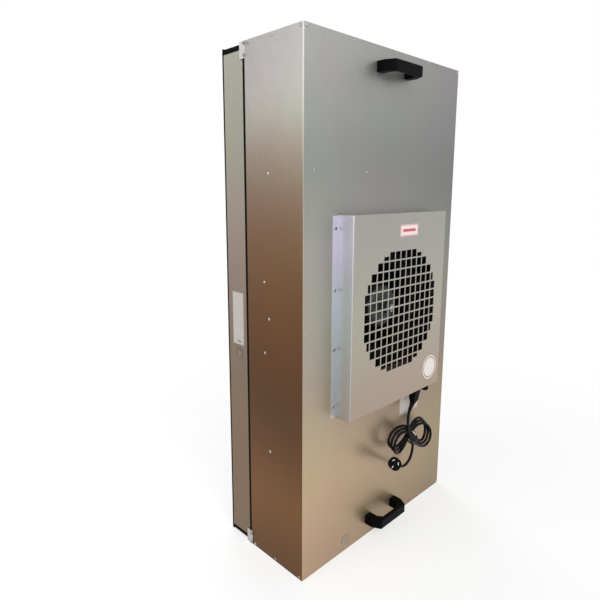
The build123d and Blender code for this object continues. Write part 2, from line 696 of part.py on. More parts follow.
def motor_rail(step):
    """Channel that spans the casing, with turned end tabs riveted to both long sides."""
    centre_z = fan_z + step * rail_offset
    half = wall_x - seat_clearance
    low, high = centre_z - rail_width / 2, centre_z + rail_width / 2
    rail = block(-half, half, rail_y, rail_y + rail_depth, low, high)
    rail -= block(-half + rail_sheet, half - rail_sheet, rail_y + rail_sheet, rail_y + rail_depth + 1,
                  low + rail_sheet, high - rail_sheet)
    places = [(x, rail_y, z) for x, z in mount_places() if abs(z - centre_z) < 1]
    rail = drilled(rail, places, "Y", screw_radius + hole_clearance)
    rail = drilled(rail, [place for place in rail_rivets if abs(place[2] - centre_z) < 1], "X",
                   rivet_radius + hole_clearance)
    if step < 0:
        rail -= rod("Z", (lead_x * 0.75, rail_rivet_y), low - 1, high + 1, cord_radius + 2)
    return rail


def rubber_mounts():
    """Four rubber buffers, each a ring with a waist."""
    bore = screw_radius + hole_clearance
    waist = mount_radius - 2.0
    outline = [(bore, mount_y), (mount_radius, mount_y), (mount_radius, mount_y + 2), (waist, mount_y + 3.5),
               (waist, rail_y - 3.5), (mount_radius, rail_y - 2), (mount_radius, rail_y), (bore, rail_y)]
    return group([turned(outline, x, z) for x, z in mount_places()])


def mount_bolts():
    """Bolts through plate, buffer and rail web, each ending in its nut."""
    rear = rail_y + rail_sheet
    outline = [(0, motor_plate_y - 3), (4.0, motor_plate_y - 3), (4.0, motor_plate_y), (screw_radius, motor_plate_y),
               (screw_radius, rear), (4.0, rear), (4.0, rear + 3.5), (screw_radius, rear + 3.5),
               (screw_radius, rear + 6), (0, rear + 6)]
    return group([turned(outline, x, z) for x, z in mount_places()])


def motor_bolts():
    """Bolts that clamp the stator flange to the motor plate."""
    front = stator_flange_y
    outline = [(0, front - 2.2), (3.5, front - 2.2), (3.5, front), (screw_radius, front), (screw_radius, mount_y),
               (3.5, mount_y), (3.5, mount_y + 3), (0, mount_y + 3)]
    return group([turned(outline, x, z) for x, z in motor_bolt_places()])


def diffuser():
    """Baffle across the casing behind the fan, with tabs turned forward along both sides."""
    half = wall_x - diffuser_side_gap
    plate = block(-half, half, diffuser_y, diffuser_y + sheet, fan_z - diffuser_height / 2,
                  fan_z + diffuser_height / 2)
    for side in (-1, 1):
        for step in (-1, 0, 1):
            z = fan_z + step * tab_pitch
            plate += block(side * (half - sheet), side * (wall_x - seat_clearance), diffuser_y + sheet - tab_length,
                           diffuser_y + sheet, z - tab_width / 2, z + tab_width / 2)
    return drilled(plate, tab_rivets, "X", rivet_radius + hole_clearance)


# --- linings and electrical parts ------------------------------------------------------------
def hood_lining():
    """Black foam on the fan face inside the hood, round the inlet ring and above the electrical bay."""
    half = hood_width / 2 - sheet - fold_radius
    pad = block(-half, half, face_y - face_foam, face_y, lining_low_z, hood_top_z - sheet - fold_radius)
    pad -= rod("Y", (0, fan_z), face_y - face_foam - 1, face_y + 1, ring_flange_radius + foam_gap)
    return pad


def side_linings():
    """Foam sheets on both long walls, above and below the fan."""
    clear = tab_pitch - tab_width
    front, back = inner_face_y + side_foam_gap, diffuser_y - tab_length - side_foam_rear_gap
    low, high = fan_z - clear * 0.42, fan_z + clear * 0.42
    pads = []
    for side in (-1, 1):
        near, far = side * (wall_x - side_foam), side * wall_x
        pads.append(block(near, far, front, back, end_flange + side_foam_gap, low))
        pads.append(block(near, far, front, back, high, unit_height - end_flange - side_foam_gap))
    return group(pads)


def power_inlet():
    """Moulded appliance inlet: flange under the hood wall, open socket and closed back."""
    inlet_y = (front_y + face_y) / 2
    half_l, half_w = inlet_body_length / 2, inlet_body_width / 2
    ears = RectangleRounded(inlet_flange_length, inlet_flange_width, 7.0)
    flange = Pos(inlet_x, inlet_y, hood_bottom_z - inlet_flange_thickness) * extrude(
        ears, amount=inlet_flange_thickness)
    shell = extrude(RectangleRounded(2 * half_l, 2 * half_w, 3.0), amount=inlet_body_depth)
    body = flange + Pos(inlet_x, inlet_y, hood_bottom_z - 1) * shell
    socket = RectangleRounded(2 * (half_l - inlet_wall), 2 * (half_w - inlet_wall), 2.0)
    body -= Pos(inlet_x, inlet_y, hood_bottom_z - inlet_flange_thickness - 1) * extrude(
        socket, amount=inlet_body_depth)
    return drilled(body, inlet_screw_places(), "Z", screw_radius + hole_clearance)


def connector_nose_depth():
    """How far the plugged connector reaches into the inlet socket."""
    return inlet_body_depth - 8.0


def inlet_screws():
    """Two countersunk-looking pan screws in the inlet ears."""
    screw = pin(3.2, 1.6, screw_radius, inlet_flange_thickness + 6)
    return group([Plane(origin=(x, y, z - inlet_flange_thickness), z_dir=(0, 0, -1)) * screw
                  for x, y, z in inlet_screw_places()])


def speed_switch():
    """Speed controller body behind the hood wall, with its bush through the wall."""
    y = knob_y()
    box = block(knob_x - switch_half_width, knob_x + switch_half_width, y - switch_half_width,
                y + switch_half_width, hood_bottom_z + sheet, hood_bottom_z + switch_height)
    bush = rod("Z", (knob_x, y), hood_bottom_z - 4, hood_bottom_z + sheet, bush_radius)
    body = box + bush
    bore = spindle_radius + spindle_clearance
    return body - rod("Z", (knob_x, y), hood_bottom_z - 5, hood_bottom_z + 12, bore)


def speed_nut():
    """Thin hexagon nut that clamps the bush to the hood wall."""
    y = knob_y()
    hexagon = RegularPolygon(8.0, 6) - Circle(bush_radius + seat_clearance)
    return Pos(knob_x, y, hood_bottom_z - 2.2) * extrude(hexagon, amount=2.2)


def speed_knob():
    """Fluted control knob with a pointer ridge, hollow over the nut, with its spindle."""
    y = knob_y()
    top, bottom = hood_bottom_z - knob_gap, hood_bottom_z - knob_height
    knob = extrude(Circle(knob_radius), amount=top - bottom, taper=3)
    knob = fillet(knob.faces().sort_by(Axis.Z)[-1].edges(), 1.5)
    knob -= [place * Cylinder(2.0, 2 * (top - bottom)) for place in PolarLocations(knob_radius + 1.2, 12)]
    knob -= Cylinder(9.0, 2 * 5.0)
    knob += Pos(0, 0, (top - bottom)) * Box(2.4, knob_radius * 1.4, 1.4)
    knob = Plane(origin=(knob_x, y, top), z_dir=(0, 0, -1)) * knob
    return knob + rod("Z", (knob_x, y), bottom + 4, hood_bottom_z + 11, spindle_radius)


def capacitor():
    """Run capacitor lying along the hood floor."""
    y, z = face_y - capacitor_radius - 1.5, electric_row_z
    can = rod("X", (y, z), capacitor_x - capacitor_length / 2, capacitor_x + capacitor_length / 2, capacitor_radius)
    return fillet(can.edges().filter_by(GeomType.CIRCLE), 2.0)


def capacitor_clamp():
    """Saddle strap that ties the capacitor to the fan face."""
    y, z = face_y - capacitor_radius - 1.5, electric_row_z
    inner, strap = capacitor_radius + 5 * seat_clearance, 1.2
    outer, foot = inner + strap, 9.0
    arch = Circle(outer) + Pos(face_y - y, 0) * Rectangle(face_y - y, 2 * outer, align=(Align.MAX, Align.CENTER))
    arch += Pos(face_y - y, 0) * Rectangle(strap, 2 * (outer + foot), align=(Align.MAX, Align.CENTER))
    arch -= Circle(inner) + Rectangle(face_y - y, 2 * inner, align=(Align.MIN, Align.CENTER))
    return Pos(capacitor_x, y, z) * (Plane.YZ * extrude(arch, amount=clamp_width / 2, both=True))


def terminal_block():
    """Screw terminal strip with a raised back and open wire entries."""
    z = electric_row_z
    body = block(terminal_x - terminal_length / 2, terminal_x + terminal_length / 2, face_y - 18, face_y,
                 z - 11, z + 11)
    body -= block(terminal_x - terminal_length / 2 - 1, terminal_x + terminal_length / 2 + 1, face_y - 19,
                  face_y - 12, z + 5, z + 12)
    for step in range(5):
        x = terminal_x + (step - 2) * terminal_length / 5.4
        body -= rod("Y", (x, z - 2), face_y - 19, face_y - 10, 2.6)
    return body


def grommet():
    """Rubber grommet where the motor lead passes the fan face."""
    bore, groove = cord_radius - 0.5 + 0.1, grommet_radius - hole_clearance / 2
    lip = grommet_radius + grommet_lip
    outline = [(bore, face_y - 3), (lip - 1, face_y - 3), (lip, face_y - 2), (lip, face_y),
               (groove, face_y), (groove, inner_face_y), (lip, inner_face_y), (lip - 1, inner_face_y + 2),
               (bore, inner_face_y + 2)]
    return turned(outline, lead_x, lead_hole_z)


def lead_path(points, radii, radius):
    """Round lead swept along straight runs joined by tangent arcs."""
    path = FilletPolyline(*points, radius=radii)
    section = Plane(origin=path @ 0, z_dir=path % 0) * Circle(radius)
    return sweep(section, path=path)


def arc_radii(points):
    """Largest arcs that the runs of a route allow, one for each corner."""
    radii = []
    for before, here, after in zip(points, points[1:], points[2:]):
        first = Vector(*here) - Vector(*before)
        second = Vector(*after) - Vector(*here)
        half_turn = math.radians(first.get_angle(second)) / 2
        radii.append(0.45 * min(first.length, second.length) / math.tan(half_turn))
    return radii


def motor_lead():
    """Motor cable: out of the stator flange, down behind the lower rail and through the fan face."""
    x = lead_x * 0.75
    back = rail_rivet_y
    points = [(x, stator_flange_y + 2, fan_z), (x, back, fan_z - 6), (x, back + 1, fan_z - 60),
              (x, back - 1, fan_z - 112), (x - 3, back - 14, fan_z - 148), (lead_x - 2, face_y + 70, lead_hole_z + 4),
              (lead_x, face_y + 38, lead_hole_z), (lead_x, face_y - 19, lead_hole_z),
              (lead_x, face_y - 14, electric_row_z), (terminal_x - terminal_length / 2, face_y - 14, electric_row_z)]
    return lead_path(points, arc_radii(points), cord_radius - 0.5)


# --- supply cord -----------------------------------------------------------------------------
def cord_place(x, y, z):
    """Point of the cord, given across from the power inlet, out from the fan face and down from the hood."""
    return (inlet_x + x, face_y + y, hood_bottom_z + z)


feed_points = [cord_place(*point) for point in [(-11.5, -21, -48.5), (-25.5, -22, -57.5), (-39.5, -24, -72.5),
                                                (-44.5, -27, -91.5), (-39.5, -29, -109.5)]]
tail_points = [cord_place(*point) for point in [(-17.5, -30, -139.5), (-2.5, -26, -171.5), (-0.5, -22, -199.5),
                                                (-19.5, -18, -216.5), (-47.5, -17, -212.5), (-76.5, -18, -192.5),
                                                (-95.5, -31, -179.5)]]
hank_waist = cord_place(-24.5, -30, -126.5)
hank_waist_width = 44.0
hank_waist_height = 44.0
hank_lobe_length = 108.0
hank_lobe_width = 62.0
hank_lobe_tilt = -25.0
hank_lobe_offset = (50.0, -3.0)
hank_depth = 38.0
relief_length = 22.0
plug_depth = 30.0
plug_width = 31.0
plug_height = 30.0
plug_corner = 12.0
blade_length = 17.0
blade_width = 6.3
blade_sheet = 1.6


def cord_connector():
    """Moulded connector in the inlet: straight nose, leaning tapered grip and a short strain relief."""
    inlet_y = (front_y + face_y) / 2
    mouth = hood_bottom_z - inlet_flange_thickness
    nose = RectangleRounded(inlet_body_length - 2 * inlet_wall - 0.6, inlet_body_width - 2 * inlet_wall - 0.6, 1.7)
    body = Pos(inlet_x, inlet_y, mouth - 0.5) * extrude(nose, amount=connector_nose_depth())
    end = Vector(*feed_points[0])
    lean = (Vector(*feed_points[0]) - Vector(*feed_points[1])).normalized()
    shoulder = Plane(origin=(inlet_x - 1, inlet_y, mouth - 0.5), z_dir=(0, 0, 1)) * RectangleRounded(31, 22, 5)
    grip = Plane(origin=(inlet_x - 6, inlet_y, mouth - 30), z_dir=(0.25, 0, 1)) * RectangleRounded(24, 18, 5)
    relief = Plane(origin=end, z_dir=lean) * Circle(cord_radius + 1.5)
    body += loft([shoulder, grip])
    return body + loft([grip, relief])


def cord_hank():
    """Outer shape of the tied figure-of-eight hank: two leaning lobes and a pinched waist."""
    lobe = Rot(0, 0, hank_lobe_tilt) * Ellipse(hank_lobe_length / 2, hank_lobe_width / 2)
    shift_x, shift_z = hank_lobe_offset
    outline = (Rectangle(hank_waist_width, hank_waist_height) + Pos(shift_x, shift_z) * lobe
               + Pos(-shift_x, -shift_z) * lobe)
    slab = extrude(outline, amount=hank_depth / 2, both=True)
    return Pos(*hank_waist) * Rot(90, 0, 0) * slab


def hank_tie():
    """Twist tie round the waist of the hank."""
    x, y, z = hank_waist
    half_y, half_z = hank_depth / 2 + hole_clearance, hank_waist_height / 2 + hole_clearance
    outer = block(x - 2, x + 2, y - half_y - 1, y + half_y + 1, z - half_z - 1, z + half_z + 1)
    return outer - block(x - 3, x + 3, y - half_y, y + half_y, z - half_z, z + half_z)


def plug_plane():
    """Frame of the wall plug: its z runs from the cord towards the pins."""
    end, before = Vector(*tail_points[-1]), Vector(*tail_points[-2])
    along = (end - before).normalized()
    return Plane(origin=end, x_dir=Vector(0.506, -0.289, 0.813).cross(along), z_dir=along)


def plug_body():
    """Moulded three-pin plug: rounded shell narrowing to its strain relief."""
    face = plug_plane()
    throat = Circle(cord_radius + 1.5)
    neck = Pos(0, 0, relief_length) * Circle(8.0)
    shell = RectangleRounded(plug_width, plug_height, plug_corner)
    body = loft([throat, neck])
    body += loft([Pos(0, 0, relief_length) * Circle(8.0), Pos(0, 0, relief_length + plug_depth * 0.45) * shell])
    body += Pos(0, 0, relief_length + plug_depth * 0.45) * extrude(shell, amount=plug_depth * 0.55)
    return face * body


def plug_pins():
    """Three flat pins: two slanted and one upright."""
    top = relief_length + plug_depth
    blade = extrude(Rectangle(blade_sheet, blade_width), amount=blade_length)
    return group([plug_plane() * Pos(x, y, top) * Rot(0, 0, turn) * blade
                  for x, y, turn in ((-6.85, 5.0, -30), (6.85, 5.0, 30), (0, -9.0, 0))])


# --- the whole unit ------------------------------------------------------------------------------
def build_nodes():
    """Every sub-part by its node name."""
    nodes = {"casing_wrap": casing_wrap(), "end_plate_lower": end_plate(False), "end_plate_upper": end_plate(True),
             "face_rivets": rivet_group(face_rivets + stud_rivets, 2 * sheet), "side_rivets": rivet_group(
                 side_rivets + tab_rivets + rail_rivets, 2 * sheet),
             "hood": hood(), "hood_screws": placed_pins(pin(screw_head_radius, screw_head, screw_radius, 5.0),
                                                        hood_screws, (0, -1, 0))}
    for name, z in handle_zs.items():
        nodes[name] = bridge_handle(z)
    nodes["handle_screws"] = placed_pins(pin(screw_head_radius, screw_head, screw_radius, 10.0), handle_screws,
                                         (0, 1, 0))
    nodes["corner_brackets"] = group(corner_bracket(side, at_top) for side in (-1, 1) for at_top in (False, True))
    bracket_screw = pin(screw_head_radius, screw_head, screw_radius, bracket_thickness + 2 * sheet)
    nodes["bracket_screws"] = group(
        Plane(origin=(x + math.copysign(bracket_thickness, x), y, z), z_dir=(math.copysign(1, x), 0, 0))
        * bracket_screw for x, y, z in bracket_screws)
    nodes["casing_gasket"] = ring_strips(frame_x, frame_bottom_z, frame_top_z, gasket_width, casing_rear_y,
                                         frame_front_y)
    for position in ("left", "right", "top", "bottom"):
        nodes[f"filter_rail_{position}"] = frame_rail(position)
    nodes["filter_media"] = filter_media()
    nodes["outlet_guard"] = outlet_guard()
    nodes.update(end_pads())
    nodes["outlet_seal"] = ring_strips(frame_x, end_pad_clear, unit_height - end_pad_clear, seal_width,
                                       frame_rear_y, seal_rear_y)
    nodes.update({"inlet_ring": inlet_ring(), "impeller": impeller(), "rotor_shell": rotor_shell(),
                  "motor_shaft": motor_shaft(), "rotor_nut": rotor_nut(), "motor_bearings": motor_bearings(),
                  "motor_stator": motor_stator(), "stator_windings": stator_windings()})
    nodes["ring_screws"] = placed_pins(pin(screw_head_radius, screw_head, screw_radius, 7.0),
                                       [(x, y - ring_wall, z) for x, y, z in ring_screws], (0, -1, 0))
    nodes["impeller_rivets"] = placed_pins(pin(rivet_head_radius, rivet_head, rivet_radius, 5.5), impeller_rivets(),
                                           (0, -1, 0))
    nodes.update({"motor_plate": motor_plate(), "motor_rail_lower": motor_rail(-1), "motor_rail_upper": motor_rail(1),
                  "rubber_mounts": rubber_mounts(), "mount_bolts": mount_bolts(), "motor_bolts": motor_bolts(),
                  "diffuser_plate": diffuser(), "hood_lining": hood_lining(), "side_linings": side_linings()})
    nodes.update({"power_inlet": power_inlet(), "inlet_screws": inlet_screws(), "speed_switch": speed_switch(),
                  "speed_nut": speed_nut(), "speed_knob": speed_knob(), "capacitor": capacitor(),
                  "capacitor_clamp": capacitor_clamp(), "terminal_block": terminal_block(), "grommet": grommet(),
                  "motor_lead": motor_lead()})
    nodes.update({"cord_connector": cord_connector(),
                  "cord_feed": lead_path(feed_points, arc_radii(feed_points), cord_radius),
                  "cord_hank": cord_hank(), "hank_tie": hank_tie(),
                  "cord_tail": lead_path(tail_points, arc_radii(tail_points), cord_radius),
                  "plug_body": plug_body(), "plug_pins": plug_pins()})
    return nodes


os.makedirs("parts", exist_ok=True)
for route_name, route in (("cord_feed", feed_points), ("cord_tail", tail_points)):
    print(route_name, "radii", [round(radius, 1) for radius in arc_radii(route)])
for node_name, node in build_nodes().items():
    export_step(node, f"parts/{node_name}.step")
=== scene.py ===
"""Fan filter unit standing on end: finishes, trims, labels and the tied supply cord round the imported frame."""

import logging
import math
from dataclasses import dataclass
from enum import Enum
from typing import Optional, Sequence, Union

import bmesh
import bpy
from mathutils import Euler, Matrix, Vector


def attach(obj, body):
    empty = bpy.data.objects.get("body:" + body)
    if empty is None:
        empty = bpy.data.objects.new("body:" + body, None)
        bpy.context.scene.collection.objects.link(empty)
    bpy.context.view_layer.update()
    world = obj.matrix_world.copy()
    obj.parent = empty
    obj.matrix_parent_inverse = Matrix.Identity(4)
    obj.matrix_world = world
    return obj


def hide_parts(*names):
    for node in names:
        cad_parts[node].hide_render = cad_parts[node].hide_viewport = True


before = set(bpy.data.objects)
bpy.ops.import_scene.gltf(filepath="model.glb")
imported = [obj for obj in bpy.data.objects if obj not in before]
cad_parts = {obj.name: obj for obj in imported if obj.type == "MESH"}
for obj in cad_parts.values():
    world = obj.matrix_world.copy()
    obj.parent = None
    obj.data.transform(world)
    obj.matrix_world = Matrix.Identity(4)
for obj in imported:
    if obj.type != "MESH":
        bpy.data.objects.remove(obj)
log = logging.getLogger("fan_filter_unit")

CASING = "casing"
KNOB = "speed_control"
MM = 0.001
WELD = 1e-6
EVEN = (1.0, 1.0, 1.0)
WHITE = (1.0, 1.0, 1.0, 1.0)
Point = Sequence[float]
Colour = tuple[int, int, int]
Loop = list[bmesh.types.BMVert]
Mesh = bmesh.types.BMesh
Material = bpy.types.Material
Thing = bpy.types.Object


def linear(colour: Colour) -> tuple[float, float, float, float]:
    """A colour written 0 to 255 as the linear RGBA that a shader takes.

    Args:
        colour: Red, green and blue as they are seen on screen.

    Returns:
        The same colour in linear light, with full alpha.
    """
    parts = [part / 255 for part in colour]
    light = [part / 12.92 if part <= 0.04045 else ((part + 0.055) / 1.055) ** 2.4 for part in parts]
    return (light[0], light[1], light[2], 1.0)


# --- shader expressions ---


class Value:
    """One shader output that takes part in Python arithmetic."""

    def __init__(self, graph: "Graph", socket: bpy.types.NodeSocket) -> None:
        """Wraps an output socket of a graph."""
        self.graph = graph
        self.socket = socket

    def _maths(self, operation: str, first: "Number", second: "Number") -> "Value":
        """Adds one Math node and returns what it gives."""
        return self.graph.value("Math", {0: first, 1: second}, {"operation": operation})

    def __add__(self, other: "Number") -> "Value":
        """Sum."""
        return self._maths("ADD", self, other)

    def __radd__(self, other: "Number") -> "Value":
        """Sum, reflected."""
        return self._maths("ADD", other, self)

    def __sub__(self, other: "Number") -> "Value":
        """Difference."""
        return self._maths("SUBTRACT", self, other)

    def __rsub__(self, other: "Number") -> "Value":
        """Difference, reflected."""
        return self._maths("SUBTRACT", other, self)

    def __mul__(self, other: "Number") -> "Value":
        """Product."""
        return self._maths("MULTIPLY", self, other)

    def __truediv__(self, other: "Number") -> "Value":
        """Quotient."""
        return self._maths("DIVIDE", self, other)

    def __pow__(self, other: "Number") -> "Value":
        """Power."""
        return self._maths("POWER", self, other)

    def below(self, limit: "Number") -> "Value":
        """1 where the value is under the limit, else 0."""
        return self._maths("LESS_THAN", self, limit)

    def most(self, other: "Number") -> "Value":
        """The larger of two values."""
        return self._maths("MAXIMUM", self, other)

    def repeat(self, pitch: float) -> "Value":
        """How far the value lies from the nearest whole number of pitches, in pitches from 0 to a half."""
        return self._maths("PINGPONG", self / pitch, 0.5)

    def span(self, low: float, high: float) -> "Value":
        """0 at low rising smoothly to 1 at high."""
        return self.graph.value("MapRange", {"Value": self, "From Min": low, "From Max": high},
                                {"interpolation_type": "SMOOTHSTEP"})


Number = Union[Value, float]


class Graph:
    """The node tree of a material or of the surround."""

    def __init__(self, owner: Union[Material, bpy.types.World]) -> None:
        """Takes over the node tree of a material or world, and empties it.

        Args:
            owner: What the tree belongs to.
        """
        owner.use_nodes = True
        self.owner = owner
        self.tree = owner.node_tree
        self.tree.nodes.clear()

    @classmethod
    def of_material(cls, name: str) -> "Graph":
        """Starts the tree of a new material."""
        return cls(bpy.data.materials.new(name))

    def node(self, kind: str, inputs: Optional[dict] = None, settings: Optional[dict] = None) -> bpy.types.Node:
        """Adds one node.

        Args:
            kind: The node's type, without its ShaderNode prefix.
            inputs: Values or wrapped sockets, by input name or number.
            settings: Its properties, set before the inputs; "stops" fills a colour ramp.

        Returns:
            The new node.
        """
        made = self.tree.nodes.new("ShaderNode" + kind)
        for name, setting in (settings or {}).items():
            if name == "stops":
                self._fill_ramp(made.color_ramp, setting)
            else:
                setattr(made, name, setting)
        for name, given in (inputs or {}).items():
            if isinstance(given, Value):
                self.tree.links.new(given.socket, made.inputs[name])
            else:
                made.inputs[name].default_value = given
        return made

    @staticmethod
    def _fill_ramp(ramp: bpy.types.ColorRamp, stops: Sequence[tuple[float, Colour]]) -> None:
        """Puts the stops of a tone into a colour ramp.

        Args:
            ramp: A ramp with two stops.
            stops: Place from 0 to 1 and colour of each stop.
        """
        ramp.interpolation = "B_SPLINE"
        for number, (place, colour) in enumerate(stops):
            stop = ramp.elements[number] if number < 2 else ramp.elements.new(place)
            stop.position = place
            stop.color = linear(colour)

    def value(self, kind: str, inputs: Optional[dict] = None, settings: Optional[dict] = None,
              output: Union[str, int] = 0) -> Value:
        """Adds a node and wraps one of its outputs."""
        return Value(self, self.node(kind, inputs, settings).outputs[output])

    def place(self, stretch: Point = EVEN) -> Value:
        """Object coordinates, stretched for a pattern."""
        coordinates = self.value("TexCoord", output="Object")
        return self.value("Mapping", {"Vector": coordinates, "Scale": stretch})

    def axes(self) -> tuple[Value, Value, Value]:
        """X, Y and Z of the object, in metres."""
        split = self.node("SeparateXYZ", {0: self.value("TexCoord", output="Object")})
        return Value(self, split.outputs[0]), Value(self, split.outputs[1]), Value(self, split.outputs[2])

    def noise(self, scale: float, stretch: Point = EVEN, detail: float = 3.0, rough: float = 0.5) -> Value:
        """Smooth noise from 0 to 1, with features of about 1/scale metres."""
        return self.value("TexNoise",
                          {"Vector": self.place(stretch), "Scale": scale, "Detail": detail, "Roughness": rough})

    def cells(self, scale: float, output: str = "Distance") -> Value:
        """Cell pattern with about scale cells to a metre."""
        return self.value("TexVoronoi", {"Vector": self.place(), "Scale": scale}, output=output)

    def grey(self, colour: Value) -> Value:
        """Brightness of a colour."""
        return self.value("RGBToBW", {0: colour})

    def ramp(self, factor: Value, stops: Sequence[tuple[float, Colour]]) -> Value:
        """Colour read from stops along a factor from 0 to 1."""
        return self.value("ValToRGB", {0: factor}, {"stops": stops})

    def mix(self, factor: Number, first: Union[Value, Colour], second: Union[Value, Colour],
            blend: str = "MIX") -> Value:
        """Mixes two colours.

        Args:
            factor: 0 gives the first colour and 1 the second.
            first: A colour or a wrapped colour.
            second: A colour or a wrapped colour.
            blend: How the second is laid over the first.

        Returns:
            The mixed colour.
        """
        ends = [end if isinstance(end, Value) else linear(end) for end in (first, second)]
        return self.value("Mix", {0: factor, 6: ends[0], 7: ends[1]},
                          {"data_type": "RGBA", "blend_type": blend}, 2)

    def shade(self, colour: Value, strength: Value) -> Value:
        """A colour made lighter or darker by a value round 1."""
        return self.value("VectorMath", {0: colour, "Scale": strength}, {"operation": "SCALE"})

    def bump(self, height: Value, depth: float, strength: float) -> Value:
        """Surface relief of a depth in metres."""
        return self.value("Bump", {"Height": height, "Distance": depth, "Strength": strength})

    def finish(self, metallic: float, gloss: float = 0.5, **inputs: Value) -> Material:
        """Closes the tree with a Principled shader.

        Args:
            metallic: 0 for paint and plastic, towards 1 for bare metal.
            gloss: Level of the mirror-like part.
            inputs: Wrapped sockets by socket name, with _ for a space.

        Returns:
            The finished material.
        """
        wired = {name.replace("_", " "): socket for name, socket in inputs.items()}
        shader = self.value("BsdfPrincipled",
                            {"Metallic": metallic, "Specular IOR Level": gloss, **wired})
        self.node("OutputMaterial", {"Surface": shader})
        return self.owner


# --- finishes ---


Tone = tuple[tuple[float, Colour], ...]

# Colour ramps along a sheet's height, from foot to top, with painted light in them. The casing front is warm tan
# towards the bottom as painted reflection and painted shade, with lighter and darker bands as painted
# reflection.
FACE_PAINTED_LIGHT_TONE: Tone = (
    (0.0, (173, 149, 124)), (0.13, (195, 170, 141)), (0.22, (189, 169, 140)), (0.31, (179, 158, 139)),
    (0.4, (168, 157, 145)), (0.52, (167, 163, 154)), (0.64, (162, 161, 156)), (0.76, (142, 142, 140)),
    (0.86, (155, 155, 156)), (1.0, (171, 171, 169)),
)
# Painted shade and painted warm reflection: the near side is dark brown at the bottom and grey at the top.
SIDE_PAINTED_LIGHT_TONE: Tone = (
    (0.0, (92, 61, 34)), (0.12, (119, 84, 46)), (0.21, (100, 66, 41)), (0.3, (85, 58, 32)),
    (0.39, (90, 57, 31)), (0.48, (100, 67, 41)), (0.56, (104, 75, 49)), (0.64, (115, 87, 63)),
    (0.72, (122, 101, 84)), (0.81, (145, 131, 120)), (0.89, (166, 164, 158)), (1.0, (159, 157, 157)),
)
# Painted shade: darker and warmer towards the bottom.
PLAIN_PAINTED_LIGHT_TONE: Tone = (
    (0.0, (150, 141, 131)), (0.35, (158, 151, 143)), (0.7, (164, 162, 158)), (1.0, (172, 172, 170)),
)
# Painted reflection: the hood front is warmer towards the bottom.
HOOD_FRONT_PAINTED_LIGHT_TONE: Tone = (
    (0.0, (170, 153, 136)), (0.2, (169, 160, 145)), (0.5, (173, 169, 158)), (0.8, (164, 163, 157)),
    (1.0, (162, 161, 155)),
)
# Painted light: the hood side is light and bluish, and lightest at the top.
HOOD_SIDE_PAINTED_LIGHT_TONE: Tone = (
    (0.0, (189, 187, 189)), (0.4, (196, 200, 206)), (0.75, (207, 208, 219)), (1.0, (214, 212, 226)),
)
# Painted shade and painted warm reflection: the filter frame is brown at the bottom and grey at the top.
FRAME_PAINTED_LIGHT_TONE: Tone = (
    (0.0, (122, 98, 80)), (0.3, (122, 105, 86)), (0.5, (130, 113, 102)), (0.7, (145, 136, 123)),
    (1.0, (156, 159, 148)),
)


@dataclass(frozen=True)
class SheetSteel:
    """Galvanised sheet with painted light: its colour follows ramps along its height, with a random drift, that
    hold painted shade and painted reflection, one for the front, one for the near side and one for the rest, and
    the front can darken sideways as painted shade; with spangle, rolling lines and handling marks.
    """

    name: str
    front: Tone
    near_side: Tone
    rest: Tone
    front_y: float
    side_x: float
    low_z: float
    high_z: float
    roughness: float = 0.42
    spangle: float = 0.05
    # Painted shade across the front: how much darker it gets, and where that starts.
    painted_shade_fall: float = 0.0
    painted_shade_start: float = 0.76
    drift: float = 0.10
    lift: float = 1.04
    rolling: float = 0.07
    handling: float = 0.12
    patches: float = 3.4
    stains: Tone = ((0.36, (255, 248, 252)), (0.64, (249, 255, 247)))

    def material(self) -> Material:
        """Builds the finish.

        Returns:
            The material, with one painted-light ramp on the front, one on the near side and one on the rest.
        """
        graph = Graph.of_material(self.name)
        x, y, z = graph.axes()
        front = y.below(self.front_y)
        near_side = x.below(-self.side_x) * (1.0 - front)
        drift = (graph.noise(2.2, (1.0, 1.0, 0.6), 2.0) - 0.5) * self.drift
        # Painted light: each zone's ramp paints shade and reflection along the height.
        level = (z - self.low_z) / (self.high_z - self.low_z) + drift
        base = graph.mix(near_side, graph.ramp(level, self.rest), graph.ramp(level, self.near_side))
        base = graph.mix(front, base, graph.ramp(level, self.front))
        # Painted shade: the front gets darker towards +x.
        if self.painted_shade_fall:
            across = 1.0 - (x + self.side_x * self.painted_shade_start) * (self.painted_shade_fall / (2 * self.side_x))
            base = graph.mix(front, base, graph.shade(base, across))
        blush = graph.ramp(graph.noise(self.patches, detail=2.0), self.stains)
        base = graph.mix(1.0, base, blush, "MULTIPLY")
        flakes = graph.grey(graph.cells(150.0, "Color"))
        lines = graph.noise(260.0, (1.0, 1.0, 0.035), 2.0)
        smears = graph.noise(7.0, (1.0, 1.0, 0.5), 4.0, 0.6)
        strength = ((self.lift - self.spangle * 1.1) + flakes * self.spangle
                    + (lines - 0.5) * self.rolling + (smears - 0.5) * self.handling)
        rough = self.roughness + (flakes - 0.5) * 0.07 + (smears - 0.5) * 0.16
        relief = lines * 0.6 + graph.noise(900.0) * 0.4
        return graph.finish(0.82, Base_Color=graph.shade(base, strength), Roughness=rough,
                            Normal=graph.bump(relief, 0.00006, 0.5))


